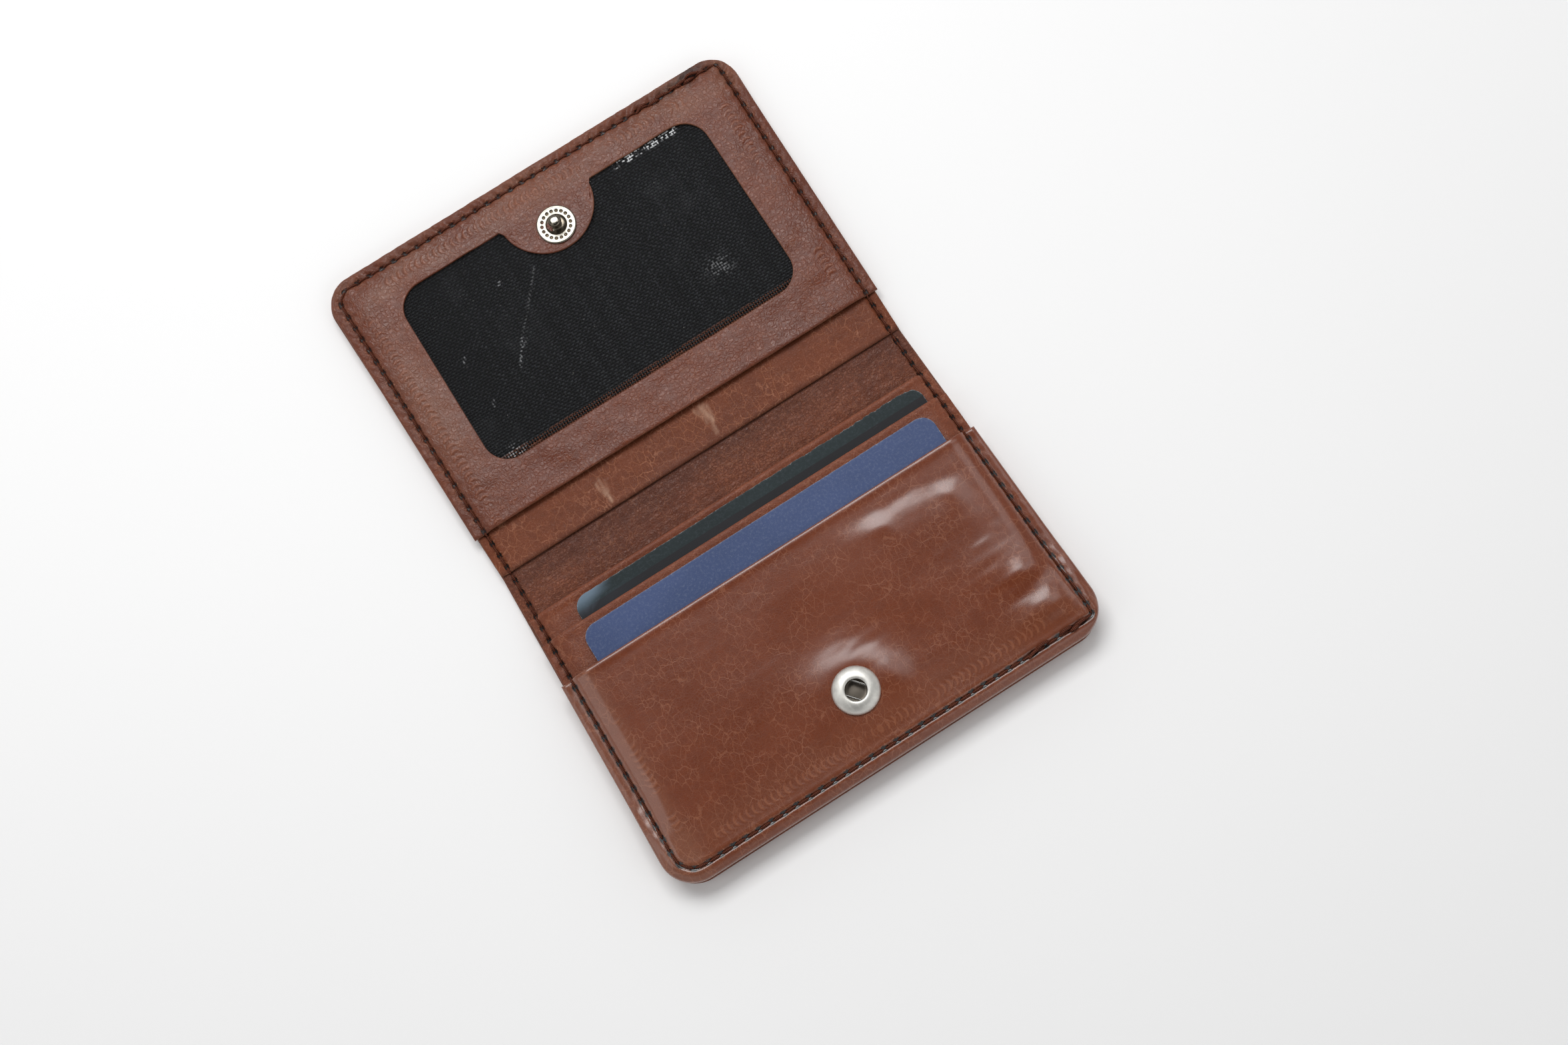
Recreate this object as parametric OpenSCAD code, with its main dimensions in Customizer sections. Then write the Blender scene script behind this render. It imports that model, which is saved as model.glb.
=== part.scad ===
// Bifold card case in sewn leather, lying open and flat.
// Frame: +X to the right, +Y towards the window half, +Z up. The origin is the
// middle of the outer face, on the floor, halfway along the spine.

/* [Case] */
// Length of the open case
case_len = 152.8; // [150:0.2:160]
// Width of the case at its two ends
end_w = 104.4; // [103:0.2:108]
// Width of the case at the spine
fold_w = 100.2; // [99.6:0.2:102]
// Distance between the two creases of the spine
spine_w = 12; // [12:0.5:15]
// Corner radius of the window half
front_corner_r = 6.5; // [4:0.5:8]
// Corner radius of the pocket half
rear_corner_r = 7.5; // [4:0.5:9]
// Thickness of the outer leather
cover_t = 1.3; // [1:0.1:1.5]
// Thickness of the lining leather
lining_t = 0.45; // [0.3:0.05:0.5]
// Distance of the seam from the outer edge
seam_in = 3.0; // [2.6:0.1:3.2]

/* [Pocket half] */
// Fold side edge of the back pocket panel, from the middle of the spine
back_edge_y = 10.8; // [10.6:0.1:11.4]
// Fold side edge of the middle pocket panel
middle_edge_y = 17.3; // [16.8:0.1:17.8]
// Fold side edge of the front pocket panel
front_edge_y = 26.8; // [25:0.1:30]
// Thickness of the pocket panels
panel_t = 0.7; // [0.6:0.05:0.75]
// Thickness of the front pocket panel
front_panel_t = 0.8; // [0.7:0.05:0.9]
// Thickness of the fabric pocket liners
liner_t = 0.15; // [0.1:0.05:0.15]

/* [Window half] */
// Fold side edge of the window frame panel, from the middle of the spine
frame_edge_y = 10.0; // [9.4:0.1:10.4]
// Fold side edge of the hidden pocket panel
hidden_edge_y = 0.3; // [0:0.1:1]
// Width of the window opening
window_w = 77; // [70:0.5:80]
// Height of the window opening
window_h = 45.4; // [42:0.2:46]
// Corner radius of the window opening
window_r = 6; // [4:0.5:8]
// Fold side edge of the window opening
window_y = 20.4; // [19.8:0.2:21]
// Radius of the round tab that carries the stud
tab_r = 11; // [9:0.5:12]
// Thickness of the window mesh
mesh_t = 0.2; // [0.1:0.05:0.2]

/* [Snap] */
// Distance of the snap from the middle of the spine
snap_y = 60.4; // [60:0.1:61]
// Diameter of the stud's flange
stud_d = 8.8; // [7:0.1:9]
// Diameter of the stud's head
post_d = 2.9; // [2.8:0.1:3]
// Outer diameter of the socket's ring
socket_d = 10.1; // [9:0.1:11]
// Diameter of the hole in the socket
socket_hole_d = 4.5; // [4:0.1:4.8]

/* [Cards] */
// Width of a card
card_w = 85.6; // [85.6:0.1:86]
// Height of a card
card_h = 54; // [53.6:0.1:54]
// Thickness of a card
card_t = 0.76; // [0.5:0.02:0.76]
// Height of the insert behind the window
insert_h = 51.6; // [48:0.2:52]
// Thickness of the insert behind the window
insert_t = 0.5; // [0.3:0.05:0.5]

/* [Hidden] */

$fn = 48;
half_len = case_len / 2;
crease_y = spine_w / 2;
crease_gap = 0.05;        // half of the gap between two covers at a crease
mitre_gap = 0.05;         // extra set-back of the inner layers at a crease
slide_gap = 0.05;         // clearance above and below a card
cut = 0.01;               // how far a cut starts outside what it cuts
seam_allowance = 3.4;     // width of the closed rim round a pocket
rim_in = fold_w / 2 - seam_allowance;

// Heights of the layers, from the floor up. The creases turn about the inner
// face of the cover, so a layer stops short of a crease by its height above it.
lining_z = cover_t;
lining_top = lining_z + lining_t;

hidden_room = 0.3;        // height of the room inside the hidden pocket
hidden_t = 0.6;
hidden_z = lining_top + hidden_room;
hidden_top = hidden_z + hidden_t;
insert_z = hidden_top + 2 * slide_gap;
mesh_z = insert_z + insert_t + slide_gap;
frame_z = mesh_z + mesh_t;
frame_top = frame_z + panel_t;

back_z = 3.3;
back_top = back_z + panel_t;
dark_z = frame_top + 3 * slide_gap;
dark_gap = 0.09;          // clearance above the dark card
middle_z = dark_z + card_t + dark_gap;
middle_top = middle_z + panel_t;
blue_z = middle_top + liner_t + slide_gap;
backing_t = 0.22;
backing_gap = 0.07;       // clearance between the blue card and the socket's rivet
front_z = blue_z + card_t + backing_gap + backing_t;
front_top = front_z + front_panel_t;

// The pocket half is a little wider than the window half, and the front pocket
// panel stands out past the layers below it where it starts.
rear_half_w = end_w / 2 + 0.1;
front_pocket_step = 0.5;
frame_step = 0.8;         // how far the window frame panel stands out where it starts
hidden_step = 0.1;
inner_step = -0.1;        // the lining and the back pocket panel stay just inside
lining_inset = 0.4;       // set-back of the hidden layers from the outer end
hidden_inset = 0.3;
back_inset = 0.3;
middle_inset = 0.15;

module flap_outline(y_fold, w_fold, w_end, r, inset = 0) {
    // one half of the case: straight at the fold, tapering outwards to a
    // rounded outer end at +Y
    y_end = half_len - inset;
    w = w_end - inset;
    polygon([[-w_fold, y_fold], [w_fold, y_fold], [w, y_end - r], [-w, y_end - r]]);
    translate([-(w - r), y_end - r - 1])
        square([2 * (w - r), r + 1]);
    for (side = [-1, 1])
        translate([side * (w - r), y_end - r])
            circle(r);
}

// Half width of the case's edge at a distance y from the middle of the spine
function edge_w(y) = fold_w / 2 + (end_w - fold_w) / 2 * y / half_len;

module front_half(y_fold, z, t, extra = 0, inset = 0)
    translate([0, 0, z])
        linear_extrude(t)
            flap_outline(y_fold, edge_w(y_fold) + extra, end_w / 2, front_corner_r, inset);

module rear_half(y_fold, z, t, extra = 0, inset = 0)
    mirror([0, 1, 0])
        translate([0, 0, z])
            linear_extrude(t)
                flap_outline(y_fold, edge_w(y_fold) + extra, rear_half_w, rear_corner_r, inset);

module pocket_space(y_fold, y_floor, z, t)
    // the room inside a pocket: open at the fold side
    translate([-rim_in, y_fold - 1, z])
        cube([2 * rim_in, y_floor - y_fold + 1, t]);

// ---- outer leather ----

module cover_rear()
    color("saddlebrown")
        rear_half(crease_y + crease_gap, 0, cover_t);

module cover_front()
    color("saddlebrown")
        front_half(crease_y + crease_gap, 0, cover_t);

module cover_spine()
    color("saddlebrown")
        spine_sheet(crease_y - crease_gap, crease_y - crease_gap, 0, cover_t);

module spine_sheet(y_low, y_high, z, t, inset = 0)
    translate([-edge_w(0) + inset, -y_low, z])
        cube([2 * (edge_w(0) - inset), y_low + y_high, t]);

// ---- lining ----

lining_mitre = lining_t + mitre_gap;

module lining_rear()
    color("sienna")
        rear_half(crease_y + lining_mitre, lining_z, lining_t, inner_step, lining_inset);

module lining_front()
    color("sienna")
        front_half(crease_y + lining_mitre, lining_z, lining_t, inner_step, lining_inset);

module lining_spine()
    color("sienna")
        spine_sheet(crease_y - lining_mitre, crease_y - lining_mitre, lining_z, lining_t,
                    -inner_step);

// ---- pockets of the rear half ----

pocket_floor_y = half_len - seam_in;

module pocket_panel(y_edge, z_below, z, t, extra, inset)
    // a panel with its rim sewn down on three sides
    difference() {
        rear_half(y_edge, z_below, z + t - z_below, extra, inset);
        mirror([0, 1, 0])
            pocket_space(y_edge, pocket_floor_y, z_below - cut, z - z_below + cut);
    }

module pocket_panel_back()
    color("sienna")
        pocket_panel(back_edge_y, lining_top, back_z, panel_t, inner_step, back_inset);

module pocket_panel_middle()
    color("sienna")
        pocket_panel(middle_edge_y, back_top, middle_z, panel_t, 0, middle_inset);

module pocket_panel_front()
    color("sienna")
        difference() {
            pocket_panel(front_edge_y, middle_top, front_z, front_panel_t, front_pocket_step, 0);
            translate([0, -snap_y, front_z - through])
                cylinder(r = barrel_r + hole_gap, h = front_panel_t + 2 * through);
        }

liner_gap = 0.2;
liner_tuck = 1;                       // set-back of a liner below the panel above it
liner_fold = 1.5;                     // depth of the fold that the dark card stands on
card_room = 0.3;                      // play below the dark card
dark_y = -12.6;                       // top edge of the dark card
dark_x = 2.9;
dark_floor_y = -dark_y + card_h + card_room;
blue_room = 0.1;                      // play below the blue card
blue_y = -(pocket_floor_y - blue_room - card_h);
blue_x = 1.3;

module pocket_liner(y_edge, y_end, z)
    translate([-rim_in + liner_gap, -y_end, z])
        cube([2 * (rim_in - liner_gap), y_end - y_edge, liner_t]);

module pocket_liner_back()
    color("dimgray")
        union() {
            pocket_liner(middle_edge_y + liner_tuck, dark_floor_y + liner_fold, back_top);
            translate([-rim_in + liner_gap, -dark_floor_y - liner_fold, back_top])
                cube([2 * (rim_in - liner_gap), liner_fold, middle_z - back_top - slide_gap]);
        }

module pocket_liner_middle()
    color("dimgray")
        pocket_liner(front_edge_y + liner_tuck, pocket_floor_y - card_room, middle_top);

// ---- hidden pocket and window of the front half ----

hidden_mitre = hidden_top - cover_t + 2 * mitre_gap;

module hidden_pocket_panel()
    color("sienna")
        difference() {
            front_half(crease_y + hidden_mitre, lining_top, hidden_top - lining_top,
                       hidden_step, hidden_inset);
            pocket_space(crease_y + hidden_mitre, half_len - seam_in - hidden_inset,
                         lining_top - cut, hidden_z - lining_top + cut);
        }

module hidden_pocket_lip()
    // the same panel's edge, where it reaches over the spine
    color("sienna")
        translate([-edge_w(0), hidden_edge_y, hidden_z])
            cube([2 * edge_w(0), crease_y - hidden_mitre - hidden_edge_y, hidden_t]);

module rounded_rect(w, h, r) {
    square([w - 2 * r, h], center = true);
    square([w, h - 2 * r], center = true);
    for (x = [-1, 1], y = [-1, 1])
        translate([x * (w / 2 - r), y * (h / 2 - r)])
            circle(r);
}

window_top_y = window_y + window_h;

module window_opening()
    // rounded opening with the snap's tab left standing at its outer edge
    difference() {
        translate([0, window_y + window_h / 2])
            rounded_rect(window_w, window_h, window_r);
        translate([0, window_top_y])
            circle(tab_r);
    }

module window_frame_panel()
    color("sienna")
        difference() {
            front_half(frame_edge_y, hidden_top, frame_top - hidden_top, frame_step, 0);
            pocket_space(frame_edge_y, half_len - seam_in,
                         hidden_top - cut, frame_z - hidden_top + cut);
            translate([0, 0, frame_z - through])
                linear_extrude(panel_t + 2 * through)
                    window_opening();
            translate([0, snap_y, frame_z - through])
                cylinder(r = shank_r + hole_gap, h = panel_t + 2 * through);
        }

mesh_border = 4;

module window_mesh()
    color("black")
        translate([0, 0, mesh_z])
            linear_extrude(mesh_t)
                difference() {
                    translate([0, window_y + window_h / 2])
                        square([window_w + 2 * mesh_border, window_h + 2 * mesh_border],
                               center = true);
                    translate([0, snap_y])
                        circle(stud_backing_r + mesh_clearance);
                }

// ---- snap fastener ----

through = 1;              // how far a hole's cutter reaches past a panel
hole_gap = 0.05;          // clearance round a shank or barrel
shank_r = 1.1;
stud_backing_r = 4;
mesh_clearance = 0.2;
flange_t = 0.45;
flange_bevel_w = 0.2;
flange_bevel_h = 0.15;
recess_r = 2.4;
recess_slope = 0.2;
recess_floor_t = 0.2;
neck_r = 1;
neck_h = 1.2;             // heights on the post, above the flange
head_low = 1.6;
head_high = 2.1;
post_h = 2.5;
head_bevel = 0.35;

module snap_stud()
    // flange with a sunk centre, and a post with a round head
    color("silver")
        translate([0, snap_y, frame_top])
            union() {
                rotate_extrude()
                    polygon([[0, 0], [stud_d / 2, 0], [stud_d / 2, flange_t - flange_bevel_h],
                             [stud_d / 2 - flange_bevel_w, flange_t], [recess_r, flange_t],
                             [recess_r - recess_slope, recess_floor_t],
                             [neck_r, recess_floor_t], [neck_r, flange_t + neck_h],
                             [post_d / 2, flange_t + head_low],
                             [post_d / 2, flange_t + head_high],
                             [post_d / 2 - head_bevel, flange_t + post_h],
                             [0, flange_t + post_h]]);
                translate([0, 0, -panel_t])
                    cylinder(r = shank_r, h = panel_t);
            }

module snap_stud_backing()
    // rivet cap on the inner face of the tab
    color("silver")
        translate([0, snap_y, mesh_z])
            cylinder(r = stud_backing_r, h = mesh_t);

barrel_r = 2.6;
barrel_floor_t = 0.15;
socket_h = 1.8;
socket_backing_r = 4.2;
wire_r = 0.25;
wire_x = 1.65;            // distance of each wire from the middle of the hole
wire_z = 0.95;
wire_turn = -50;          // direction of the wires, from the X axis
wire_grip = 0.4;          // how far the wires reach into the ring at each end

module snap_socket()
    // domed ring round a hole, with a barrel down through the leather
    color("silver")
        translate([0, -snap_y, front_top])
            rotate_extrude()
                polygon([[0, -front_panel_t], [barrel_r, -front_panel_t], [barrel_r, 0],
                         for (step = ring_steps) [socket_d / 2 - step[0], step[1]],
                         for (step = lip_steps) [socket_hole_d / 2 + step[0], step[1]],
                         [socket_hole_d / 2, barrel_floor_t - front_panel_t],
                         [0, barrel_floor_t - front_panel_t]]);

// [distance from the ring's edge or the hole's edge, height above the leather]
ring_steps = [[0, 0], [0, 0.6], [0.4, 1.1], [1.2, 1.6], [2, socket_h]];
lip_steps = [[0.3, socket_h - 0.1], [0, socket_h - 0.5]];

module snap_socket_spring()
    // the two wires that grip the stud's neck
    color("dimgray")
        translate([0, -snap_y, front_top + wire_z])
            rotate(wire_turn)
                for (side = [-1, 1])
                    translate([0, side * wire_x, 0])
                        rotate([0, 90, 0])
                            cylinder(r = wire_r, h = wire_len, center = true);

wire_len = 2 * sqrt(pow(socket_hole_d / 2, 2) - pow(wire_x, 2)) + 2 * wire_grip;

module snap_socket_backing()
    // rivet cap on the inner face of the front pocket panel
    color("silver")
        translate([0, -snap_y, front_z - backing_t])
            cylinder(r = socket_backing_r, h = backing_t);

// ---- seams ----

stitch_pitch = 3.0;
stitch_len = 2.2;
stitch_r = 0.25;
seam_fold_in = 2.2;
seam_fold_x = fold_w / 2 - seam_fold_in;  // half distance of the side seams at the fold
seam_end_x = end_w / 2 - seam_in;
seam_end_y = half_len - seam_in;

function seam_x(y) = seam_fold_x + (seam_end_x - seam_fold_x) * y / seam_end_y;
function rear_level(y) =
    y < back_edge_y ? lining_top :
    y < middle_edge_y ? back_top :
    y < front_edge_y ? middle_top : front_top;
function front_level(y) = y < frame_edge_y ? hidden_top : frame_top;
function spine_level(y) = y > hidden_edge_y ? hidden_top : lining_top;

module stitch_y(x, y, z)
    translate([x, y - stitch_len / 2, z + stitch_r])
        rotate([-90, 0, 0])
            cylinder(r = stitch_r, h = stitch_len);

module stitch_x(x, y, z)
    translate([x - stitch_len / 2, y, z + stitch_r])
        rotate([0, 90, 0])
            cylinder(r = stitch_r, h = stitch_len);

side_count = 20;
end_count = 29;
first_stitch_y = 12.2;

module stitching_rear()
    color([0.2, 0.1, 0.08])
        union() {
            for (side = [-1, 1], i = [-1 : side_count - 1]) {
                y = first_stitch_y + i * stitch_pitch;
                if (rear_level(y - stitch_len / 2) == rear_level(y + stitch_len / 2))
                    stitch_y(side * seam_x(y), -y, rear_level(y));
            }
            for (i = [0 : end_count - 1])
                stitch_x((i - (end_count - 1) / 2) * stitch_pitch, -seam_end_y, front_top);
        }

module stitching_front()
    color([0.2, 0.1, 0.08])
        union() {
            for (side = [-1, 1], i = [0 : side_count - 1]) {
                y = first_stitch_y + i * stitch_pitch;
                stitch_y(side * seam_x(y), y, front_level(y));
            }
            for (i = [0 : end_count - 1])
                stitch_x((i - (end_count - 1) / 2) * stitch_pitch, seam_end_y, frame_top);
        }

spine_stitch_ys = [-3.7, -1, 2.6];

module stitching_spine()
    color([0.2, 0.1, 0.08])
        for (side = [-1, 1], y = spine_stitch_ys) {
            if (spine_level(y - stitch_len / 2) == spine_level(y + stitch_len / 2))
                stitch_y(side * seam_fold_x, y, spine_level(y));
        }

// ---- cards ----

card_corner_r = 3.18;

module card(x, y_top, z, h, t)
    // a card hanging down in -Y from its top edge
    translate([x, y_top - h / 2, z])
        linear_extrude(t)
            rounded_rect(card_w, h, card_corner_r);

module card_dark()
    color([0.13, 0.16, 0.17])
        card(dark_x, dark_y, dark_z, card_h, card_t);

module card_blue()
    color([0.27, 0.33, 0.5])
        card(blue_x, blue_y, blue_z, card_h, card_t);

insert_cover = 1.3;      // how far the window's edge covers the insert
insert_y = window_y + insert_cover;

module window_insert()
    color([0.05, 0.05, 0.06])
        card(0, insert_y + insert_h, insert_z, insert_h, insert_t);

cover_rear();
cover_spine();
cover_front();
lining_rear();
lining_spine();
lining_front();
pocket_panel_back();
pocket_panel_middle();
pocket_panel_front();
pocket_liner_back();
pocket_liner_middle();
hidden_pocket_panel();
hidden_pocket_lip();
window_frame_panel();
window_mesh();
snap_stud();
snap_stud_backing();
snap_socket();
snap_socket_spring();
snap_socket_backing();
stitching_rear();
stitching_spine();
stitching_front();
card_dark();
card_blue();
window_insert();
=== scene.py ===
"""Looks of the sewn leather card case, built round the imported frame. Lengths are in millimetres
until a mesh is made, and s is the distance from the middle of the spine, on either half."""
import math

import bpy
import numpy as np
from mathutils import Matrix, Vector


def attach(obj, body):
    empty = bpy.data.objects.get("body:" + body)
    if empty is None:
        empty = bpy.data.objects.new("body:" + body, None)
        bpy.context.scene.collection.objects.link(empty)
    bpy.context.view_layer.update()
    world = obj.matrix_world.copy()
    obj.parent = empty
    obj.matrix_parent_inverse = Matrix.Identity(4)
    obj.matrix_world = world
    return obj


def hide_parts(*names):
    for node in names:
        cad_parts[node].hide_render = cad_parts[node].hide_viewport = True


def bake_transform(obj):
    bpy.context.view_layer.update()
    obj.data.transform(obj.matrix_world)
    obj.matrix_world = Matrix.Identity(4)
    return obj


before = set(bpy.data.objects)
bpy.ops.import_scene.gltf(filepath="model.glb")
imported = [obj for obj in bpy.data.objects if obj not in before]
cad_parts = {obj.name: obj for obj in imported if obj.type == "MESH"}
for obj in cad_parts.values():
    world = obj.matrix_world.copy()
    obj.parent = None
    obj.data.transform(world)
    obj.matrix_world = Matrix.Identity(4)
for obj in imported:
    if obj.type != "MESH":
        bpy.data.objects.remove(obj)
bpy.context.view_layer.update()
MM = 0.001
rng = np.random.RandomState(41)

# ---- the case's own sizes, as in the CAD ----
HALF_LEN, FOLD_W, END_W = 76.4, 50.1, 52.2
REAR_W = 52.3
FRONT_R, REAR_R = 6.5, 7.5
SEAM_END = 73.4
PITCH = 3.0
FIRST_STITCH = 12.2
FIRST_HOLE = FIRST_STITCH - PITCH / 2
WINDOW_W, WINDOW_Y, WINDOW_TOP, WINDOW_R = 77.0, 20.4, 65.8, 6.0
TAB_R = 11.0
SNAP_Y = 60.4
CARD_W, CARD_H, CARD_T, CARD_R = 85.6, 54, 0.76, 3.18
DARK_CARD_Z, BLUE_CARD_Z, INSERT_Z = 4.35, 6.1, 2.75
INSERT_H, INSERT_T = 51.6, 0.5
INSERT_TOP = INSERT_Z + INSERT_T
FRAME_TOP, FRONT_TOP = 4.2, 7.95
LINING_TOP, COVER_TOP = 1.75, 1.3
FAR = 99.0  # stands for a distance that is never reached

# Pocket panels by layer: place of the mouth, height over the card, thickness, and how far from the
# seam the panel reaches that height.
POCKETS = {1: (10.8, 4.0, 0.7, 4.2), 2: (17.3, 5.9, 0.7, 4.2), 3: (26.8, FRONT_TOP, 0.8, 5.0)}


def smooth(a, b, v):
    t = np.clip((v - a) / (b - a), 0, 1)
    return t * t * (3 - 2 * t)


def bell(v, centre, width):
    return np.exp(-(((v - centre) / width) ** 2))


def streak(x, y, x0, y0, x1, y1, width):
    """1 on a line between two points, falling to 0 beside it."""
    dx, dy = x1 - x0, y1 - y0
    t = np.clip(((x - x0) * dx + (y - y0) * dy) / (dx * dx + dy * dy), 0, 1)
    return bell(np.hypot(x - x0 - t * dx, y - y0 - t * dy), 0, width)


def noise(x, y, sx, sy, seed):
    """Smooth noise from -1 to 1 with cells of sx by sy."""
    table = np.random.RandomState(seed).uniform(-1, 1, (97, 97))
    px, py = x / sx + 31.7, y / sy + 17.3
    ix, iy = np.floor(px).astype(int), np.floor(py).astype(int)
    fx, fy = px - ix, py - iy
    fx, fy = fx * fx * fx * (fx * (fx * 6 - 15) + 10), fy * fy * fy * (fy * (fy * 6 - 15) + 10)
    a, b = table[ix % 97, iy % 97], table[(ix + 1) % 97, iy % 97]
    c, d = table[ix % 97, (iy + 1) % 97], table[(ix + 1) % 97, (iy + 1) % 97]
    return (a * (1 - fx) + b * fx) * (1 - fy) + (c * (1 - fx) + d * fx) * fy


def creases(x, y, sx, sy, seed):
    """Sharp narrow valleys between rounded folds, from 0 in a valley to 1."""
    warp = noise(x, y, sx * 0.6, sy * 3, seed + 7) * sy * 0.9
    n = np.abs(noise(x, y + warp, sx, sy, seed))
    m = np.abs(noise(x, y - warp, sx * 0.7, sy * 0.55, seed + 3))
    return np.minimum(1, n * 2.4) ** 0.6 * 0.65 + np.minimum(1, m * 2.4) ** 0.6 * 0.35


def seam_x(s):
    return 47.9 + 1.3 * s / SEAM_END


# Radius of the seam's turn at each corner, and how many stitches it takes from the last hole of
# the side seam to the first of the end seam.
CORNERS = {(-1, -1): (4.5, 67.7, 43.5, 3), (-1, 1): (1.2, 70.7, 46.5, 2),
           (1, -1): (3.0, 67.7, 43.5, 3), (1, 1): (1.2, 70.7, 46.5, 2)}


def corner_path(r, s_hole, x_hole):
    """Lengths of the straight, turning and straight parts of the seam between two holes."""
    return SEAM_END - r - s_hole, math.pi * r / 2, seam_x(SEAM_END) - r - x_hole


def seam_place(sgn, x, s):
    """(distance inside the seam line, distance along it in stitches with holes at whole numbers)."""
    side, end = seam_x(s) - np.abs(x), SEAM_END - s
    q = np.minimum(side, end)
    along = np.where(side < end, (s - FIRST_HOLE) / PITCH, np.abs(x) / PITCH + 0.5)
    for hand in (-1, 1):
        r, s_hole, x_hole, count = CORNERS[sgn, hand]
        here = (x * hand > 0) & (side < r) & (end < r)
        q = np.where(here, r - np.hypot(r - side, r - end), q)
        before, turn, after = corner_path(r, s_hole, x_hole)
        angle = np.arctan2(r - end, np.maximum(r - side, 1e-9))
        path = np.where(here, before + r * np.clip(angle, 0, math.pi / 2), 0)
        path = np.where(~here & (side <= end), s - s_hole, path)
        path = np.where(~here & (side > end), before + turn + seam_x(SEAM_END) - r - np.abs(x), path)
        first = (s_hole - FIRST_HOLE) / PITCH
        near = (x * hand > 0) & (s > s_hole) & (np.abs(x) > x_hole)
        along = np.where(near, first + count * path / (before + turn + after), along)
    return q, along


def off_corner(x, s):
    """1 along the straight parts of the seam, falling to 0 in its corners."""
    return smooth(6.5, 10, np.maximum(seam_x(s) - np.abs(x), SEAM_END - s))


def corner_holes(sgn, hand):
    """Places of the holes from the last one of the side seam to the first one of the end seam."""
    r, s_hole, x_hole, count = CORNERS[sgn, hand]
    before, turn, after = corner_path(r, s_hole, x_hole)
    out = []
    for i in range(count + 1):
        t = (before + turn + after) * i / count
        cx, cs = seam_x(SEAM_END) - r, SEAM_END - r
        if t <= before:
            p = (seam_x(s_hole + t), s_hole + t)
        elif t <= before + turn:
            a = (t - before) / r
            p = (cx + r * math.cos(a), cs + r * math.sin(a))
        else:
            p = (cx - (t - before - turn), SEAM_END)
        out.append((hand * p[0], p[1]))
    return out


class Outline:
    """One half of a panel: straight sides from s0, a rounded outer end."""

    def __init__(self, sgn, s0, w0, w1, end, r):
        self.sgn, self.s0, self.w0, self.w1, self.end, self.r = sgn, s0, w0, w1, end, r

    def straight(self, s):
        t = np.clip((s - self.s0) / (self.end - self.r - self.s0), 0, 1)
        return self.w0 + (self.w1 - self.w0) * t

    def width(self, s):
        over = np.clip(s - (self.end - self.r), 0, self.r)
        return self.straight(s) - self.r + np.sqrt(np.maximum(self.r**2 - over**2, 0))

    def inside(self, x, s):
        a, e, r = self.straight(s) - np.abs(x), self.end - s, self.r
        corner = r - np.hypot(np.maximum(r - a, 0), np.maximum(r - e, 0))
        return np.where((a < r) & (e < r), corner, np.minimum(a, e))


EDGE_STEPS = [0, 0.02, 0.07, 0.15, 0.27, 0.42, 0.6, 0.82, 1.08, 1.36, 1.64, 1.92, 2.18, 2.42, 2.64,
              2.86, 3.08, 3.3, 3.54, 3.8, 4.1, 4.45, 4.85]


def stations(start, stop, step, fine_start, fine_stop):
    """Rows at an even step, with finer rows at both ends."""
    head = [start + e for e in fine_start]
    tail = [stop - e for e in fine_stop][::-1]
    n = max(1, int(round((tail[0] - head[-1]) / step)))
    return np.array(head + list(np.linspace(head[-1], tail[0], n + 1)[1:-1]) + tail)


def make_mesh(name, verts, faces):
    """A smooth-shaded object from points in millimetres, and faces as an array or a list."""
    me = bpy.data.meshes.new(name)
    me.vertices.add(len(verts))
    me.vertices.foreach_set("co", (np.asarray(verts, float) * MM).astype(np.float32).ravel())
    counts = np.array([len(f) for f in faces])
    flat = np.concatenate([np.asarray(f) for f in faces]) if isinstance(faces, list) else faces.ravel()
    me.loops.add(len(flat))
    me.loops.foreach_set("vertex_index", flat.astype(np.int32))
    me.polygons.add(len(counts))
    starts = np.concatenate([[0], np.cumsum(counts)[:-1]])
    me.polygons.foreach_set("loop_start", starts.astype(np.int32))
    me.polygons.foreach_set("use_smooth", np.full(len(counts), True))
    me.update(calc_edges=True)
    me.validate()
    ob = bpy.data.objects.new(name, me)
    bpy.context.scene.collection.objects.link(ob)
    return ob


def give(ob, name, values):
    """Stores a vector on every vertex."""
    values = np.asarray(values, np.float32)
    if values.shape[1] < 3:
        values = np.hstack([values, np.zeros((len(values), 3 - values.shape[1]), np.float32)])
    at = ob.data.attributes.new(name, "FLOAT_VECTOR", "POINT")
    at.data.foreach_set("vector", values.ravel())


def grid_quads(g):
    """Quads between the neighbours in a grid of vertex numbers."""
    return np.stack([g[:-1, :-1], g[:-1, 1:], g[1:, 1:], g[1:, :-1]], -1).reshape(-1, 4)


def compact(faces, total):
    """The vertices that the faces use, and the faces renumbered to those alone."""
    used = np.unique(faces)
    new = np.full(total, -1)
    new[used] = np.arange(len(used))
    return used, new[faces]


def two_sided(rows, cols):
    """Quads of a closed shell over a grid: a top layer and a bottom layer that share the border."""
    top = np.arange(rows * cols).reshape(rows, cols)
    bottom = top + rows * cols
    bottom[0], bottom[-1], bottom[:, 0], bottom[:, -1] = top[0], top[-1], top[:, 0], top[:, -1]
    return compact(np.concatenate([grid_quads(top), grid_quads(bottom)[:, ::-1]]), 2 * rows * cols)


def stack_faces(n, m):
    """Faces of a stack of m rings of n points, closed at both ends."""
    faces = [[i * n + j, i * n + (j + 1) % n, (i + 1) * n + (j + 1) % n, (i + 1) * n + j]
             for i in range(m - 1) for j in range(n)]
    return faces + [list(range(n))[::-1], [(m - 1) * n + j for j in range(n)]]


def quarter_round(distance, radius):
    """Height over a rounded edge, from 0 at the edge to 1 at the radius."""
    return np.sqrt(np.clip(1 - (1 - np.clip(distance / radius, 0, 1)) ** 2, 0, 1))


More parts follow.
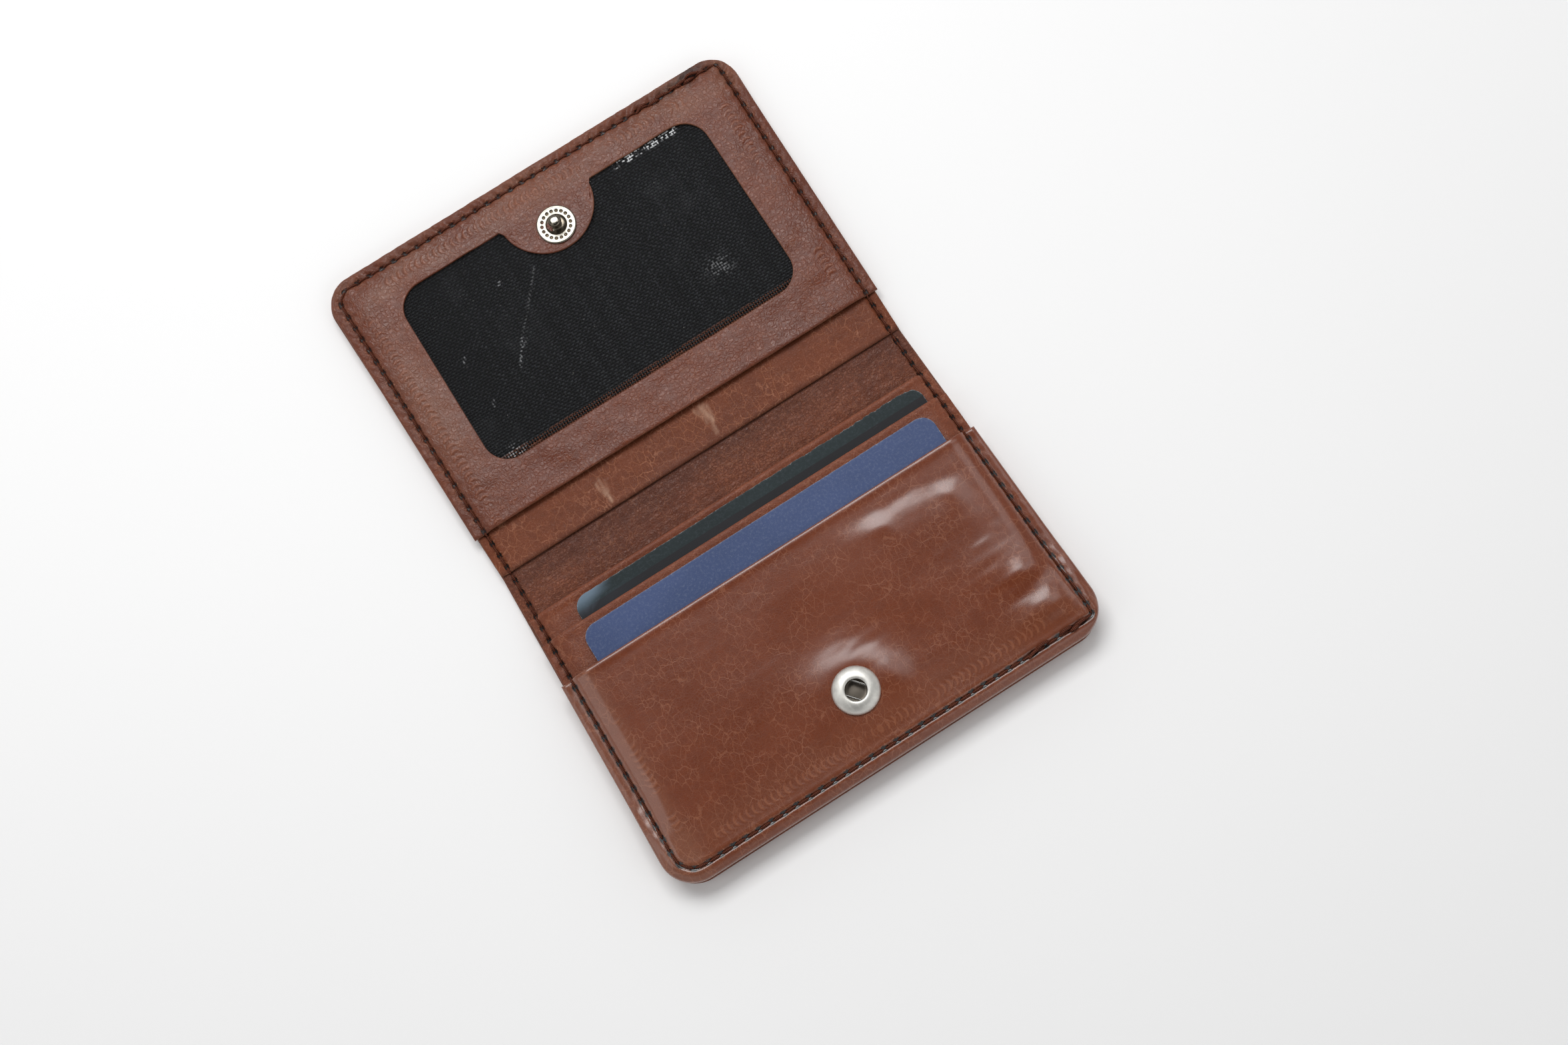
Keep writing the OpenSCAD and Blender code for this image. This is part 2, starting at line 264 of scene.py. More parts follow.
def both_faces(x, y, upper, lower, part=1.0):
    """Points of both faces of a sheet, at a part of their distance from its middle."""
    mid = (upper + lower) / 2
    top = np.stack([x, y, mid + (upper - mid) * part], -1).reshape(-1, 3)
    low = np.stack([x, y, mid - (mid - lower) * part], -1).reshape(-1, 3)
    return np.concatenate([top, low])


def give_leather(ob, verts, used, x, s, q, along, rim, marks):
    """What the leather's material reads: the place at rest, the place on the seam, and the marks."""
    both = lambda *parts: np.stack([np.tile(v.ravel(), 2)[used] for v in parts], -1)
    give(ob, "rest", verts)
    give(ob, "seam", both(along, q, off_corner(x, s)))
    give(ob, "marks", both(rim, *marks))


RIM_FADE = 0.35  # how fast the rubbed rim of a panel fades inwards


def skin(name, line, levels, roll=0.5, step_x=0.5, mouth="rolled", marks=None, rows_at=None):
    """A sheet of leather over one half. levels(x, s, mouth distance) gives its upper and lower
    surface before its edges are rolled."""
    edge = [e / 50 for e in EDGE_STEPS]
    off = stations(-1, 1, step_x / 50, edge, edge)
    ss = stations(line.s0, line.end, 0.45, EDGE_STEPS[:10], EDGE_STEPS) if rows_at is None else rows_at
    s, u = np.meshgrid(ss, off, indexing="ij")
    x = u * line.width(s)
    inside = line.inside(x, s)
    inside[:, 0] = inside[:, -1] = inside[-1] = 0
    m = s - line.s0 if mouth == "rolled" else np.full_like(s, FAR)
    upper, lower = levels(x, s, m)
    near = np.minimum(inside, m)
    part = quarter_round(near, np.minimum(roll, 0.5 * (upper - lower)))
    used, quads = two_sided(*s.shape)
    verts = both_faces(x, line.sgn * s, upper, lower, part)[used]
    ob = make_mesh(name, verts, quads[:, ::-1] if line.sgn < 0 else quads)
    q, along = seam_place(line.sgn, x, s)
    extra = marks(x, line.sgn * s, q) if marks else (0 * s, 0 * s)
    give_leather(ob, verts, used, x, s, q, along, np.exp(-near / RIM_FADE), extra)
    return ob


def seam_relief(x, s, q, along, pucker=0.1):
    """Groove under the thread, puckers between its holes and a rounded bead outside it."""
    groove = -0.34 * bell(q, 0, 0.42)
    bead = 0.16 * bell(q, -1.5, 0.8) + 0.1 * bell(q, 1.1, 0.6)
    ripple = -pucker * np.cos(2 * np.pi * (along + 0.22 * q)) * bell(q, -0.3, 1.6)
    lumps = pucker * (0.9 * noise(x, s, 1.9, 1.9, 5) + 0.5 * noise(x, s, 0.9, 0.9, 6)) * bell(q, -1.0, 2.4)
    return groove + bead + ripple + lumps


def ease(v):
    """Rises steeply from 0 and levels off at 1."""
    v = np.clip(v, 0, 1)
    return 1 - (1 - v) ** 2


def capped(v, top):
    """Levels off gently just under a highest value."""
    soft = 0.04
    return top - soft * np.log1p(np.exp((top - v) / soft))


# ---- heights of every layer ----
def rear_rim(k, s):
    """Top of the rim of pocket layer k, 0 for the lining: the layers stack higher at the outer end,
    where the cards stand on the seam."""
    side = (LINING_TOP, 2.85, 4.15, 5.5)[k]
    end = (LINING_TOP, 3.0, 4.6, 7.5)[k]
    return side + (end - side) * smooth(52, 72, s)


CARD_TOPS = (0, 0, DARK_CARD_Z + CARD_T, BLUE_CARD_Z + CARD_T)  # of the card under each layer


def pocket_levels(k, sag=0.0, mouth_lift=0.12):
    """Heights of pocket panel k. Its underside stays clear of the card below it."""
    _, plateau, thick, length = POCKETS[k]
    pucker, fine = (0.025, 0.012) if k == 3 else (0.1, 0.03)  # the front panel is stretched smoother

    def levels(x, s, m):
        q, along = seam_place(-1, x, s)
        rim, under = rear_rim(k, s), rear_rim(k - 1, s)
        body = rim + (plateau - rim) * ease((q + 0.4) / length)
        body += seam_relief(x, s, q, along, pucker)
        inner = smooth(1.5, 6, q)
        body += inner * (0.07 * noise(x, s, 17, 11, 60 + k) + fine * noise(x + 0.3 * s, s, 7, 1.9, 63 + k))
        body += fine * inner * (creases(x, s + 0.12 * x, 6, 1.1, 70 + k) - 0.6)
        body += mouth_lift * bell(m, 0.8, 0.7) - sag * bell(m, 0, 4) * inner
        if k == 3:
            body += front_bulges(x, s) * smooth(0, 5, q)
            body -= 0.9 * smooth(-0.4, -2.8, q) * smooth(60, 72, s)
        low = np.minimum(under - 0.02 + (body - thick - under + 0.02) * smooth(-0.2, 1.0, q), body - 0.5)
        clear = CARD_TOPS[k] + 0.05
        return body, np.where(q > -0.15, np.maximum(low, np.minimum(clear, body - 0.15)), low)
    return levels


# Lumps of the front panel: height, place x and s, stretch across, size.
FRONT_LUMPS = ((0.95, 42.5, 66.8, 1.9, 3.7), (0.5, 42, 58.3, 1.3, 2.9), (0.42, 39, 56, 1.1, 6.5),
               (0.1, 22, 50, 2.4, 5), (0.46, 8.5, 61, 0.9, 4.6))


def front_bulges(x, s):
    """The front panel lies on the card below its mouth and swells over the snap and in one corner."""
    r = np.hypot(x, s - SNAP_Y)
    right = smooth(10, 26, x) * smooth(46, 37, x)
    lip = 32.2 + 0.1 * (x - 17) + 0.5 * noise(x, s, 3.5, 5, 121)
    swell = 0.41 * smooth(lip - 2.3, lip + 2.7, s) * right
    swell += 0.25 * noise(x, 0 * s, 4.2, 5, 124) * bell(s - lip, 2.2, 2.4) * right
    swell -= 0.32 * smooth(37, 50, s) * right
    for height, cx, cs, stretch, size in FRONT_LUMPS:
        swell += height * bell(np.hypot((x - cx) / stretch, s - cs), 0, size)
    swell += 0.14 * bell(x, -40.5, 2.2)
    rumpled = bell(np.hypot((x - 40) / 1.1, s - 55), 0, 10) + 0.7 * bell(np.hypot(x - 6, s - 54.5), 0, 6)
    swell += 0.06 * noise(x + 0.35 * s, s, 4.5, 1.5, 123) * np.minimum(rumpled, 1)
    towards_mouth = smooth(-0.1, 1.0, (0.7 * x + SNAP_Y - s) / np.maximum(r, 0.1))
    swell -= 0.32 * smooth(4.8, 14, r)
    swell -= 0.42 * towards_mouth * smooth(5.0, 11.5, r) * (1 - 0.8 * smooth(13, 26, r))
    return swell - 0.8 * smooth(4.6, 3.2, r)


def hidden_levels(x, s, m):
    q, along = seam_place(1, x, s)
    body = 2.3 + 0.3 * ease((q + 0.4) / 3) + seam_relief(x, s, q, along, 0.06)
    inner = smooth(0.5, 4, q)
    folds = 0.05 * (creases(x, s, 5, 1.3, 83) - 0.6) * bell(s, 5, 6)
    body += inner * (0.07 * noise(x, s, 14, 6, 81) + folds)
    body = capped(body - 0.05 + 0.1 * bell(m, 0.8, 0.7), INSERT_Z - 0.04)
    under = LINING_TOP - 0.01
    low = under + (body - 0.6 - under) * smooth(-0.2, 1.0, q)
    return body, np.minimum(low, body - 0.45)


def frame_height(x, s, m):
    """Upper and lower surface of the window frame, which stays clear of the insert and the cards."""
    q, along = seam_place(1, x, s)
    body = 3.3 + 0.9 * ease((q + 0.4) / 4.5) + seam_relief(x, s, q, along, 0.14 + 0.12 * smooth(60, 71, s))
    inner = smooth(1, 5, q)
    waves = 0.12 * noise(x, s, 11, 8, 91) + 0.2 * noise(x, s, 5.5, 4.5, 92) + 0.05 * noise(x, s, 2.3, 2, 94)
    body = body + inner * (waves + 0.02 * (creases(x, s + 0.1 * x, 4, 1.4, 93) - 0.6))
    body = body + 0.08 * bell(m, 0.8, 0.7)
    from_stud = np.hypot(x, s - SNAP_Y)
    body = body - 0.16 * bell(from_stud, 5.6, 1.6) + 0.1 * bell(from_stud, 9.3, 1.5)
    body += (capped(body - 0.06, DARK_CARD_Z - 0.05) - body) * smooth(42, 37, s)
    low = 2.33 + (body - 0.7 - 2.33) * smooth(-0.2, 1.0, q)
    low = np.where(q > 1.5, np.maximum(low, INSERT_TOP + 0.04), low)
    return body, np.minimum(low, body - 0.5), q, along


def lining_levels(x, s, m):
    q, along = seam_place(1, x, s)
    near_spine = 1 - smooth(9, 12, s)
    patch = 0.35 + 0.65 * smooth(-0.2, 0.5, noise(x, s, 11, 4, 102))
    folds = creases(x, s, 9, 1.7, 101) * 0.13 + creases(x + 0.4 * s, s, 2.6, 0.8, 103) * 0.04 * patch
    body = 1.7 + near_spine * (folds - 0.06 + 0.1 * noise(x, s, 20, 5, 105)) * smooth(-2.5, 0.5, q)
    body = body + near_spine * seam_relief(x, s, q, along, 0.05) * 0.7
    return body, np.full_like(x, COVER_TOP - 0.01)


def cover_levels(x, s, m):
    q, along = seam_place(1, x, s)
    low = 0.22 * bell(q, 0, 0.45) + 0.03 * (1 - np.cos(2 * np.pi * along)) * bell(q, 0, 1.1)
    low = low + 0.1 * bell(s, 6, 0.9) + 0.03 * (1 - creases(x, s, 8, 1.4, 111)) * (1 - smooth(6, 12, s))
    return np.full_like(x, COVER_TOP), low


def half_line(sgn, end_w, radius):
    """Outlines of panels on one half, by where they start, what is added there and the inset."""
    def line(s0, extra, inset):
        w0 = FOLD_W + 2.1 * s0 / HALF_LEN + extra
        return Outline(sgn, s0, w0, end_w - inset, HALF_LEN - inset, radius)
    return line


rear_line = half_line(-1, REAR_W, REAR_R)
front_line = half_line(1, END_W, FRONT_R)


# ---- materials ----
def srgb(r, g, b):
    f = lambda c: c / 255 / 12.92 if c / 255 <= 0.04045 else ((c / 255 + 0.055) / 1.055) ** 2.4
    return f(r), f(g), f(b), 1.0


class Value:
    """A number in a material, to add to, take away from and multiply."""

    def __init__(self, nodes, socket):
        self.nodes, self.socket = nodes, socket

    def __add__(self, other):
        return self.nodes.math("ADD", self, other)

    def __sub__(self, other):
        return self.nodes.math("SUBTRACT", self, other)

    def __rsub__(self, other):
        return self.nodes.math("SUBTRACT", other, self)

    def __mul__(self, other):
        return self.nodes.math("MULTIPLY", self, other)

    __radd__ = __add__


class Nodes:
    """Short ways to add shader nodes."""

    def __init__(self, name):
        self.material = bpy.data.materials.new(name)
        self.material.use_nodes = True
        self.tree = self.material.node_tree
        self.tree.nodes.clear()
        out = self.add("ShaderNodeOutputMaterial")
        self.bsdf = self.add("ShaderNodeBsdfPrincipled")
        self.put(self.bsdf.outputs[0], out.inputs[0])

    def add(self, kind, *values, **props):
        """A node with its properties, and with values or links for its first sockets."""
        n = self.tree.nodes.new(kind)
        for k, v in props.items():
            setattr(n, k, v)
        for v, socket in zip(values, n.inputs):
            self.put(v, socket)
        return n

    def put(self, value, socket):
        if isinstance(value, Value):
            value = value.socket
        if isinstance(value, bpy.types.NodeSocket):
            self.tree.links.new(value, socket)
        else:
            socket.default_value = value

    def math(self, op, a, b=0.0):
        return Value(self, self.add("ShaderNodeMath", a, b, operation=op).outputs[0])

    def size(self, a):
        return self.math("ABSOLUTE", a)

    def ramp(self, value, lo, hi, a=0.0, b=1.0):
        n = self.add("ShaderNodeMapRange", value, lo, hi, a, b, interpolation_type="SMOOTHSTEP")
        return Value(self, n.outputs[0])

    def mix(self, fac, a, b):
        n = self.add("ShaderNodeMix", fac, data_type="RGBA")
        self.put(a, n.inputs[6])
        self.put(b, n.inputs[7])
        return n.outputs[2]

    def tint(self, colour, mask, amount, tone):
        return self.mix(mask * amount, colour, tone)

    def place(self):
        return self.add("ShaderNodeTexCoord").outputs["Object"]

    def attribute(self, name):
        return self.add("ShaderNodeAttribute", attribute_name=name).outputs["Vector"]

    def parts(self, vector):
        return [Value(self, v) for v in self.add("ShaderNodeSeparateXYZ", vector).outputs]

    def scaled(self, vector, scale, turn=0.0):
        n = self.add("ShaderNodeMapping", vector)
        n.inputs["Scale"].default_value = scale if isinstance(scale, tuple) else (scale,) * 3
        n.inputs["Rotation"].default_value = (0, 0, turn)
        return n.outputs[0]

    def length(self, vector):
        return Value(self, self.add("ShaderNodeVectorMath", vector, operation="LENGTH").outputs["Value"])

    def moved(self, vector, by, amount):
        n = self.add("ShaderNodeVectorMath", by, (amount,) * 3, vector, operation="MULTIPLY_ADD")
        return n.outputs[0]

    def noise(self, vector, scale, detail=4.0, rough=0.55):
        n = self.add("ShaderNodeTexNoise", vector)
        n.inputs["Scale"].default_value = scale
        n.inputs["Detail"].default_value = detail
        n.inputs["Roughness"].default_value = rough
        return Value(self, n.outputs["Fac"])

    def cells(self, vector, scale):
        n = self.add("ShaderNodeTexVoronoi", vector, feature="DISTANCE_TO_EDGE")
        n.inputs["Scale"].default_value = scale
        return Value(self, n.outputs["Distance"])

    def bump(self, height, strength, distance):
        n = self.add("ShaderNodeBump")
        n.inputs["Strength"].default_value = strength
        n.inputs["Distance"].default_value = distance * MM
        self.put(height, n.inputs["Height"])
        return n.outputs[0]

    def finish(self, colour, rough, normal=None, **fixed):
        self.put(colour, self.bsdf.inputs["Base Color"])
        self.put(rough, self.bsdf.inputs["Roughness"])
        if normal is not None:
            self.put(normal, self.bsdf.inputs["Normal"])
        for k, v in fixed.items():
            self.bsdf.inputs[k.replace("_", " ")].default_value = v
        return self.material


def leather(name, base, deep, pale, crackle, rough=0.42, grain=1.0, wrinkle=0.3, feet=0.0, feet_to=FAR,
            depth=0.06, coat=0.0, hole_shade=srgb(12, 8, 8), pit=0.38, specular=0.5, pore=1.7):
    """Smooth calf leather: pore grain, creases with painted shade in their valleys, pale crackle,
    mottled colour, tan edges, seam holes darkened with painted shade and, up to x = feet_to, the
    marks of the sewing machine's foot."""
    n = Nodes(name)
    rest = n.attribute("rest")
    rim, dark_tone, pale_tone = n.parts(n.attribute("marks"))
    along, inward, straight = n.parts(n.attribute("seam"))
    wobble = n.add("ShaderNodeTexNoise", rest)
    wobble.inputs["Scale"].default_value = 0.9
    bent = n.moved(rest, wobble.outputs["Color"], 0.9)
    little = n.moved(rest, wobble.outputs["Color"], 0.7)
    pore_hi = n.ramp(n.cells(bent, pore), 0.0, 0.26)
    broad = n.noise(n.scaled(rest, (0.05, 0.07, 0.1)), 1.0, 4, 0.5)
    cloudy = n.noise(rest, 0.5, 4, 0.6)
    speck = n.noise(rest, 3.6, 3, 0.7)
    lines = n.noise(n.scaled(bent, (0.2, 1.3, 0.5), 0.1), 1.0, 5, 0.65)
    crease = n.ramp(n.size(lines - 0.5), 0.0, 0.06)
    colour = n.mix(n.ramp(broad * 0.5 + cloudy * 0.5, 0.38, 0.62), deep, base)
    colour = n.tint(colour, n.ramp(speck, 0.5, 0.8), 0.3, pale)
    colour = n.tint(colour, 1 - pore_hi, 0.45 * grain, deep)
    # painted shade: darker in the valleys of the creases
    colour = n.tint(colour, 1 - crease, 0.55 * wrinkle, srgb(66, 36, 28))
    height = pore_hi * (0.55 * grain) + speck * (0.5 * grain) + crease * (1.6 * wrinkle)
    # crackle: two nets of fine pale lines, in patches
    big = n.cells(n.scaled(little, (0.62, 0.36, 0.6), 0.15), 1.0)
    small = n.cells(n.scaled(little, (1.15, 0.8, 0.6), -0.2), 1.0)
    net = n.math("MAXIMUM", n.ramp(big, 0.055, 0.0), n.ramp(small, 0.05, 0.0) * 0.55)
    net = net * n.ramp(n.noise(rest, 0.16, 3, 0.6), 0.3, 0.65)
    colour = n.tint(colour, net, 0.5 * crackle, srgb(172, 116, 88))
    height = height - net * (0.8 * crackle)
    edge = n.ramp(rim + speck * 0.35, 0.75, 1.3)
    colour = n.tint(colour, edge, 0.5, srgb(150, 104, 78))
    # The marks' dark tone is real stains and knotted thread, plus painted shade on the lining's fold and
    # the hidden pocket's mouth; their pale tone is real scuffs, plus a painted sheen on the frame and the
    # front panel.
    colour = n.tint(colour, dark_tone, 0.85, srgb(46, 33, 32))
    colour = n.tint(colour, pale_tone, 0.8, srgb(186, 148, 124))
    # ragged holes of the seam, darkened with painted shade, the dark line between them and pale
    # flecks round them
    from_hole = (n.math("FRACT", along + 0.5) - 0.5) * (PITCH * 0.7)
    gap = n.add("ShaderNodeCombineXYZ", from_hole, inward).outputs[0]
    jag = n.length(gap) + (n.noise(rest, 2.4, 2) - 0.5) * 0.7
    hole = n.ramp(jag, pit, pit + 0.3, 1.0, 0.0)
    line = n.ramp(n.size(inward), 0.15, 0.75, 1.0, 0.0)
    colour = n.tint(colour, line, 0.35, srgb(50, 28, 24))
    fleck = n.ramp(jag, 0.4, 0.7) * n.ramp(jag, 1.15, 0.75)
    fleck = fleck * n.ramp(n.noise(rest, 1.7, 3, 0.7), 0.54, 0.64)
    colour = n.tint(colour, fleck, 0.5, srgb(176, 124, 94))
    # painted shade inside the holes
    colour = n.mix(hole, colour, hole_shade)
    height = height - hole * 2.0
    if feet:
        wave = n.math("SINE", along * (4 * math.pi) + n.math("POWER", n.size(inward - 3.9), 2.0) * 1.5)
        band = n.ramp(inward, 2.4, 3.2) * n.ramp(inward, 5.4, 4.4)
        band = band * straight * n.ramp(n.noise(rest, 0.09, 2), 0.4, 0.5)
        ridge = wave * band * n.ramp(n.parts(rest)[0], feet_to + 3, feet_to)
        height = height + ridge * feet
        colour = n.tint(colour, n.ramp(ridge, 0.2, 0.9), 0.35 * feet, pale)
    shine = rough + (broad - 0.5) * 0.25 + (1 - pore_hi) * 0.1 + rim * 0.15
    shine = shine + n.ramp(inward, 0.6, -0.6, 0.0, 0.1)
    return n.finish(colour, shine, n.bump(height, 1.0, depth),
                    Specular_IOR_Level=specular, Coat_Weight=coat, Coat_Roughness=0.2)


BROWN = dict(base=srgb(109, 52, 28), deep=srgb(92, 42, 23), pale=srgb(142, 86, 60))
TAN = dict(base=srgb(124, 65, 40), deep=srgb(108, 53, 31), pale=srgb(154, 100, 74))
panel_leather = leather("panel_leather", specular=0.38, rough=0.28, grain=1.35, wrinkle=0.12, crackle=0.4,
                        feet=1.1, depth=0.048, hole_shade=srgb(30, 17, 14), pore=1.1, **BROWN)
hidden_leather = leather("hidden_leather", wrinkle=0.15, crackle=1.1, depth=0.045, specular=0.22,
                         **dict(BROWN, base=srgb(117, 60, 34), deep=srgb(100, 49, 27)))
inner_leather = leather("inner_leather", rough=0.36, wrinkle=0.2, crackle=0.7, depth=0.04, specular=0.3,
                        pore=1.4, **TAN)
front_leather = leather("front_leather", rough=0.3, grain=0.7, wrinkle=0.05, crackle=0.7, feet=1.7,
                        feet_to=40.0, depth=0.018, coat=1.0, specular=0.22, pit=0.5,
                        **dict(BROWN, base=srgb(115, 55, 29), deep=srgb(106, 50, 27)))
cover_leather = leather("cover_leather", wrinkle=0.2, crackle=0.3, depth=0.04, specular=0.4, **BROWN)
lining_leather = leather("lining_leather", rough=0.34, grain=1.5, wrinkle=0.3, crackle=0.6, specular=0.26,
                         pore=1.4, **dict(TAN, base=srgb(122, 66, 42), deep=srgb(94, 48, 31)))


def metal(name, colour, rough):
    """Scuffed metal, with painted shade, dark and brownish, in its dimples and its well."""
    n = Nodes(name)
    pressed, well, _ = n.parts(n.attribute("sunk"))
    at = n.place()
    big = n.noise(n.scaled(at, 900), 1.0, 3)
    scratch = n.noise(n.scaled(at, (1200, 180, 500), 0.6), 1.0, 3, 0.6)
    worn = n.mix(n.ramp(big, 0.3, 0.75), tuple(0.85 * c for c in colour[:3]) + (1,), colour)
    # painted shade in the dimples and in the well
    worn = n.tint(worn, pressed, 0.85, srgb(84, 68, 48))
    worn = n.mix(well, worn, srgb(84, 72, 56))
    shine = rough + n.ramp(scratch, 0.45, 0.7) * 0.1 + pressed * 0.2
    return n.finish(worn, shine, Metallic=1.0)


nickel = metal("nickel", srgb(146, 142, 132), 0.2)
dull_nickel = metal("dull_nickel", srgb(232, 230, 224), 0.48)
wire_steel = metal("spring_wire", srgb(170, 168, 164), 0.25)


def thread_material():
    """Twisted, slightly fuzzy thread."""
    n = Nodes("thread")
    along, around, _ = n.parts(n.attribute("ply"))
    ply = n.math("SINE", along * (2 * math.pi * 3.2) + around)
    at = n.place()
    fuzz = n.noise(n.scaled(at, 6000), 1.0, 4, 0.7)
    colour = n.mix(n.ramp(ply * 0.25 + fuzz, 0.2, 0.85), srgb(54, 27, 19), srgb(110, 58, 40))
    return n.finish(colour, 0.5 + fuzz * 0.25, n.bump(ply * 0.5 + fuzz * 0.4, 0.7, 0.06),
                    Specular_IOR_Level=0.12)


thread = thread_material()


def net_material():
    """Black thread with a painted highlight on its crowns, with dust, specks, painted glints and hairs."""
    n = Nodes("net_thread")
    at = n.place()
    fuzz = n.noise(n.scaled(at, 5200), 1.0, 3, 0.7)
    dust = n.noise(n.scaled(at, 60), 1.0, 4, 0.6)
    speck = n.ramp(n.noise(n.scaled(at, 1300), 1.0, 2, 0.5), 0.74, 0.8)
    colour = n.mix(n.ramp(fuzz, 0.3, 0.75), srgb(8, 9, 10), srgb(20, 21, 23))
    crown, spark, behind = n.parts(n.attribute("weft"))
    # painted highlight on the crowns of the weft
    colour = n.tint(colour, crown, 0.8, srgb(57, 59, 62))
    colour = n.mix(behind, colour, srgb(120, 74, 54))
    colour = n.tint(colour, n.ramp(dust, 0.55, 0.8), 0.25, srgb(78, 80, 82))
    colour = n.tint(colour, speck, 0.6, srgb(150, 148, 142))
    # painted glints on some crossings, and pale hairs
    colour = n.mix(spark, colour, srgb(236, 238, 240))
    return n.finish(colour, 0.5 + fuzz * 0.2, Specular_IOR_Level=0.22)


net_thread = net_material()


def card_material(name, base, deep, gloss, specular, specks=0.16, band=None):
    """Printed plastic card: faint mottle, rubbed edges, fine scratches. A band is a second colour
    below some y."""
    n = Nodes(name)
    rest = n.attribute("rest")
    rim, glint, _ = n.parts(n.attribute("marks"))
    cloud = n.ramp(n.noise(n.scaled(rest, (0.05, 0.08, 0.1)), 1.0, 4), 0.3, 0.7)
    scratch = n.noise(n.scaled(rest, (0.35, 9.0, 1.0), 0.5), 1.0, 5, 0.75)
    dots = n.noise(rest, 1.6, 3, 0.8)
    colour = n.mix(cloud, deep, base)
    colour = n.tint(colour, n.ramp(dots, 0.45, 0.75), specks, srgb(150, 160, 176))
    if band:
        top, low_tone, high_tone = band
        step = n.ramp(n.parts(rest)[1], top, top + 0.25)
        colour = n.mix(step, n.mix(cloud, low_tone, high_tone), colour)
    colour = n.tint(colour, n.ramp(scratch, 0.6, 0.8), 0.18, srgb(170, 178, 186))
    pale_tone = n.ramp(rim + n.noise(rest, 1.6, 4, 0.7) * 0.9, 1.2, 1.6)
    colour = n.tint(colour, pale_tone, 0.75, srgb(170, 174, 176))
    # a painted glint where the marks ask for one
    colour = n.mix(glint, colour, srgb(120, 140, 158))
    shine = gloss + n.ramp(scratch, 0.5, 0.8) * 0.2 + pale_tone * 0.25
    return n.finish(colour, shine, n.bump(scratch, 0.12, 0.02), Specular_IOR_Level=specular)


dark_plastic = card_material("dark_card", srgb(32, 43, 45), srgb(26, 35, 37), 0.42, 0.16, 0.05,
                             band=(-15.6, srgb(33, 32, 36), srgb(28, 27, 30)))
blue_plastic = card_material("blue_card", srgb(63, 79, 120), srgb(55, 71, 110), 0.36, 0.25)
insert_plastic = card_material("insert_card", srgb(16, 17, 19), srgb(10, 11, 12), 0.45, 0.15)


def cloth_material():
    """Fine plain lining cloth."""
    n = Nodes("liner_cloth")
    rest = n.attribute("rest")
    wave_x, wave_y = (n.math("SINE", v * (2 * math.pi * 2.6)) for v in n.parts(rest)[:2])
    weave = wave_x * wave_y
    fuzz = n.noise(rest, 6.0, 4, 0.7)
    colour = n.mix(n.ramp(weave + fuzz, -0.6, 1.4), srgb(26, 24, 24), srgb(58, 54, 52))
    return n.finish(colour, 0.7 + fuzz * 0.2, n.bump(weave, 0.6, 0.05), Sheen_Weight=0.3)


liner_cloth = cloth_material()


# ---- leather pieces ----
def dress(ob, material, slot, *replaced, body=None, blend=None):
    """A piece's material, its finish slot (not used), the nodes it stands for and the body it moves with.
    """
    ob.data.materials.append(material)
    if replaced:
        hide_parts(*replaced)
    if blend:
        a, b, start, end = blend
        start * MM
        end * MM
        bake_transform(ob)
    else:
        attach(ob, body)
    return ob


REAR_BLEND = ("pocket_half", "spine", -9.5, -2.5)
FRONT_BLEND = ("spine", "window_half", 2.5, 9.5)


# Each marks function gives how dark and how pale the leather is at a point.
def frame_marks(x, y, q):
    """A dark smudge in the right corner, and a painted sheen along the left side and the end."""
    smudge = bell(np.hypot((x - 43) / 1.8, y - 75.0), 0, 2.2)
    smudge += 0.9 * bell(np.hypot((x - 38) / 3, y - 73.4), 0, 1.5)
    dark_tone = np.clip(smudge, 0, 1) * smooth(-0.4, 0.5, 0.3 + 0.6 * noise(x, y, 1.3, 1.0, 201))
    # painted sheen: paler along the left side and towards the end
    pale_tone = 0.15 * bell(x, -43.5, 5.5) * bell(y, 40, 17)
    return dark_tone, pale_tone + 0.07 * smooth(64, 68, y) * (1 + noise(x, y, 7, 3, 203))


def lining_marks(x, y, q):
    """The fold is darker towards the hidden pocket: painted shade of the fold's curve."""
    return 0.3 * smooth(-8, -1, y), np.zeros_like(y)


def front_marks(x, y, q):
    """Knotted dark thread near the right corner, a painted sheen along the left edge, and a little paler
    towards the outer end.
    """
    knots = bell(q, 0, 0.75) * smooth(30, 34, x) * smooth(-60, -70, y)
    knots *= smooth(-0.5, 0.3, noise(x, y, 1.1, 1.1, 221))
    # painted sheen along the left edge
    return knots, 0.1 * smooth(-42, -45, x) + 0.05 * smooth(-62, -68, y)


# Scuffs of the hidden pocket: two ends and a width.
SCUFFS = ((5.5, 9.0, 5.0, 2.0, 0.34), (4.6, 9.2, 4.5, 5.0, 0.3), (3.4, 8.9, 3.9, 6.4, 0.3),
          (6.3, 8.4, 5.7, 4.6, 0.3), (-21.8, 7.0, -21.7, 1.6, 0.36), (-22.7, 6.6, -22.3, 3.4, 0.3),
          (-20.9, 6.0, -21.2, 3.8, 0.28))


def hidden_marks(x, y, q):
    """Pale scuffs, and painted shade along the pocket's mouth."""
    pale = np.max([streak(x, y, *scuff) for scuff in SCUFFS], axis=0)
    pale *= 0.55 + 0.45 * noise(x, y, 0.6, 1.4, 211)
    # painted shade along the mouth
    return 0.35 * bell(y, 0.6, 0.5), pale


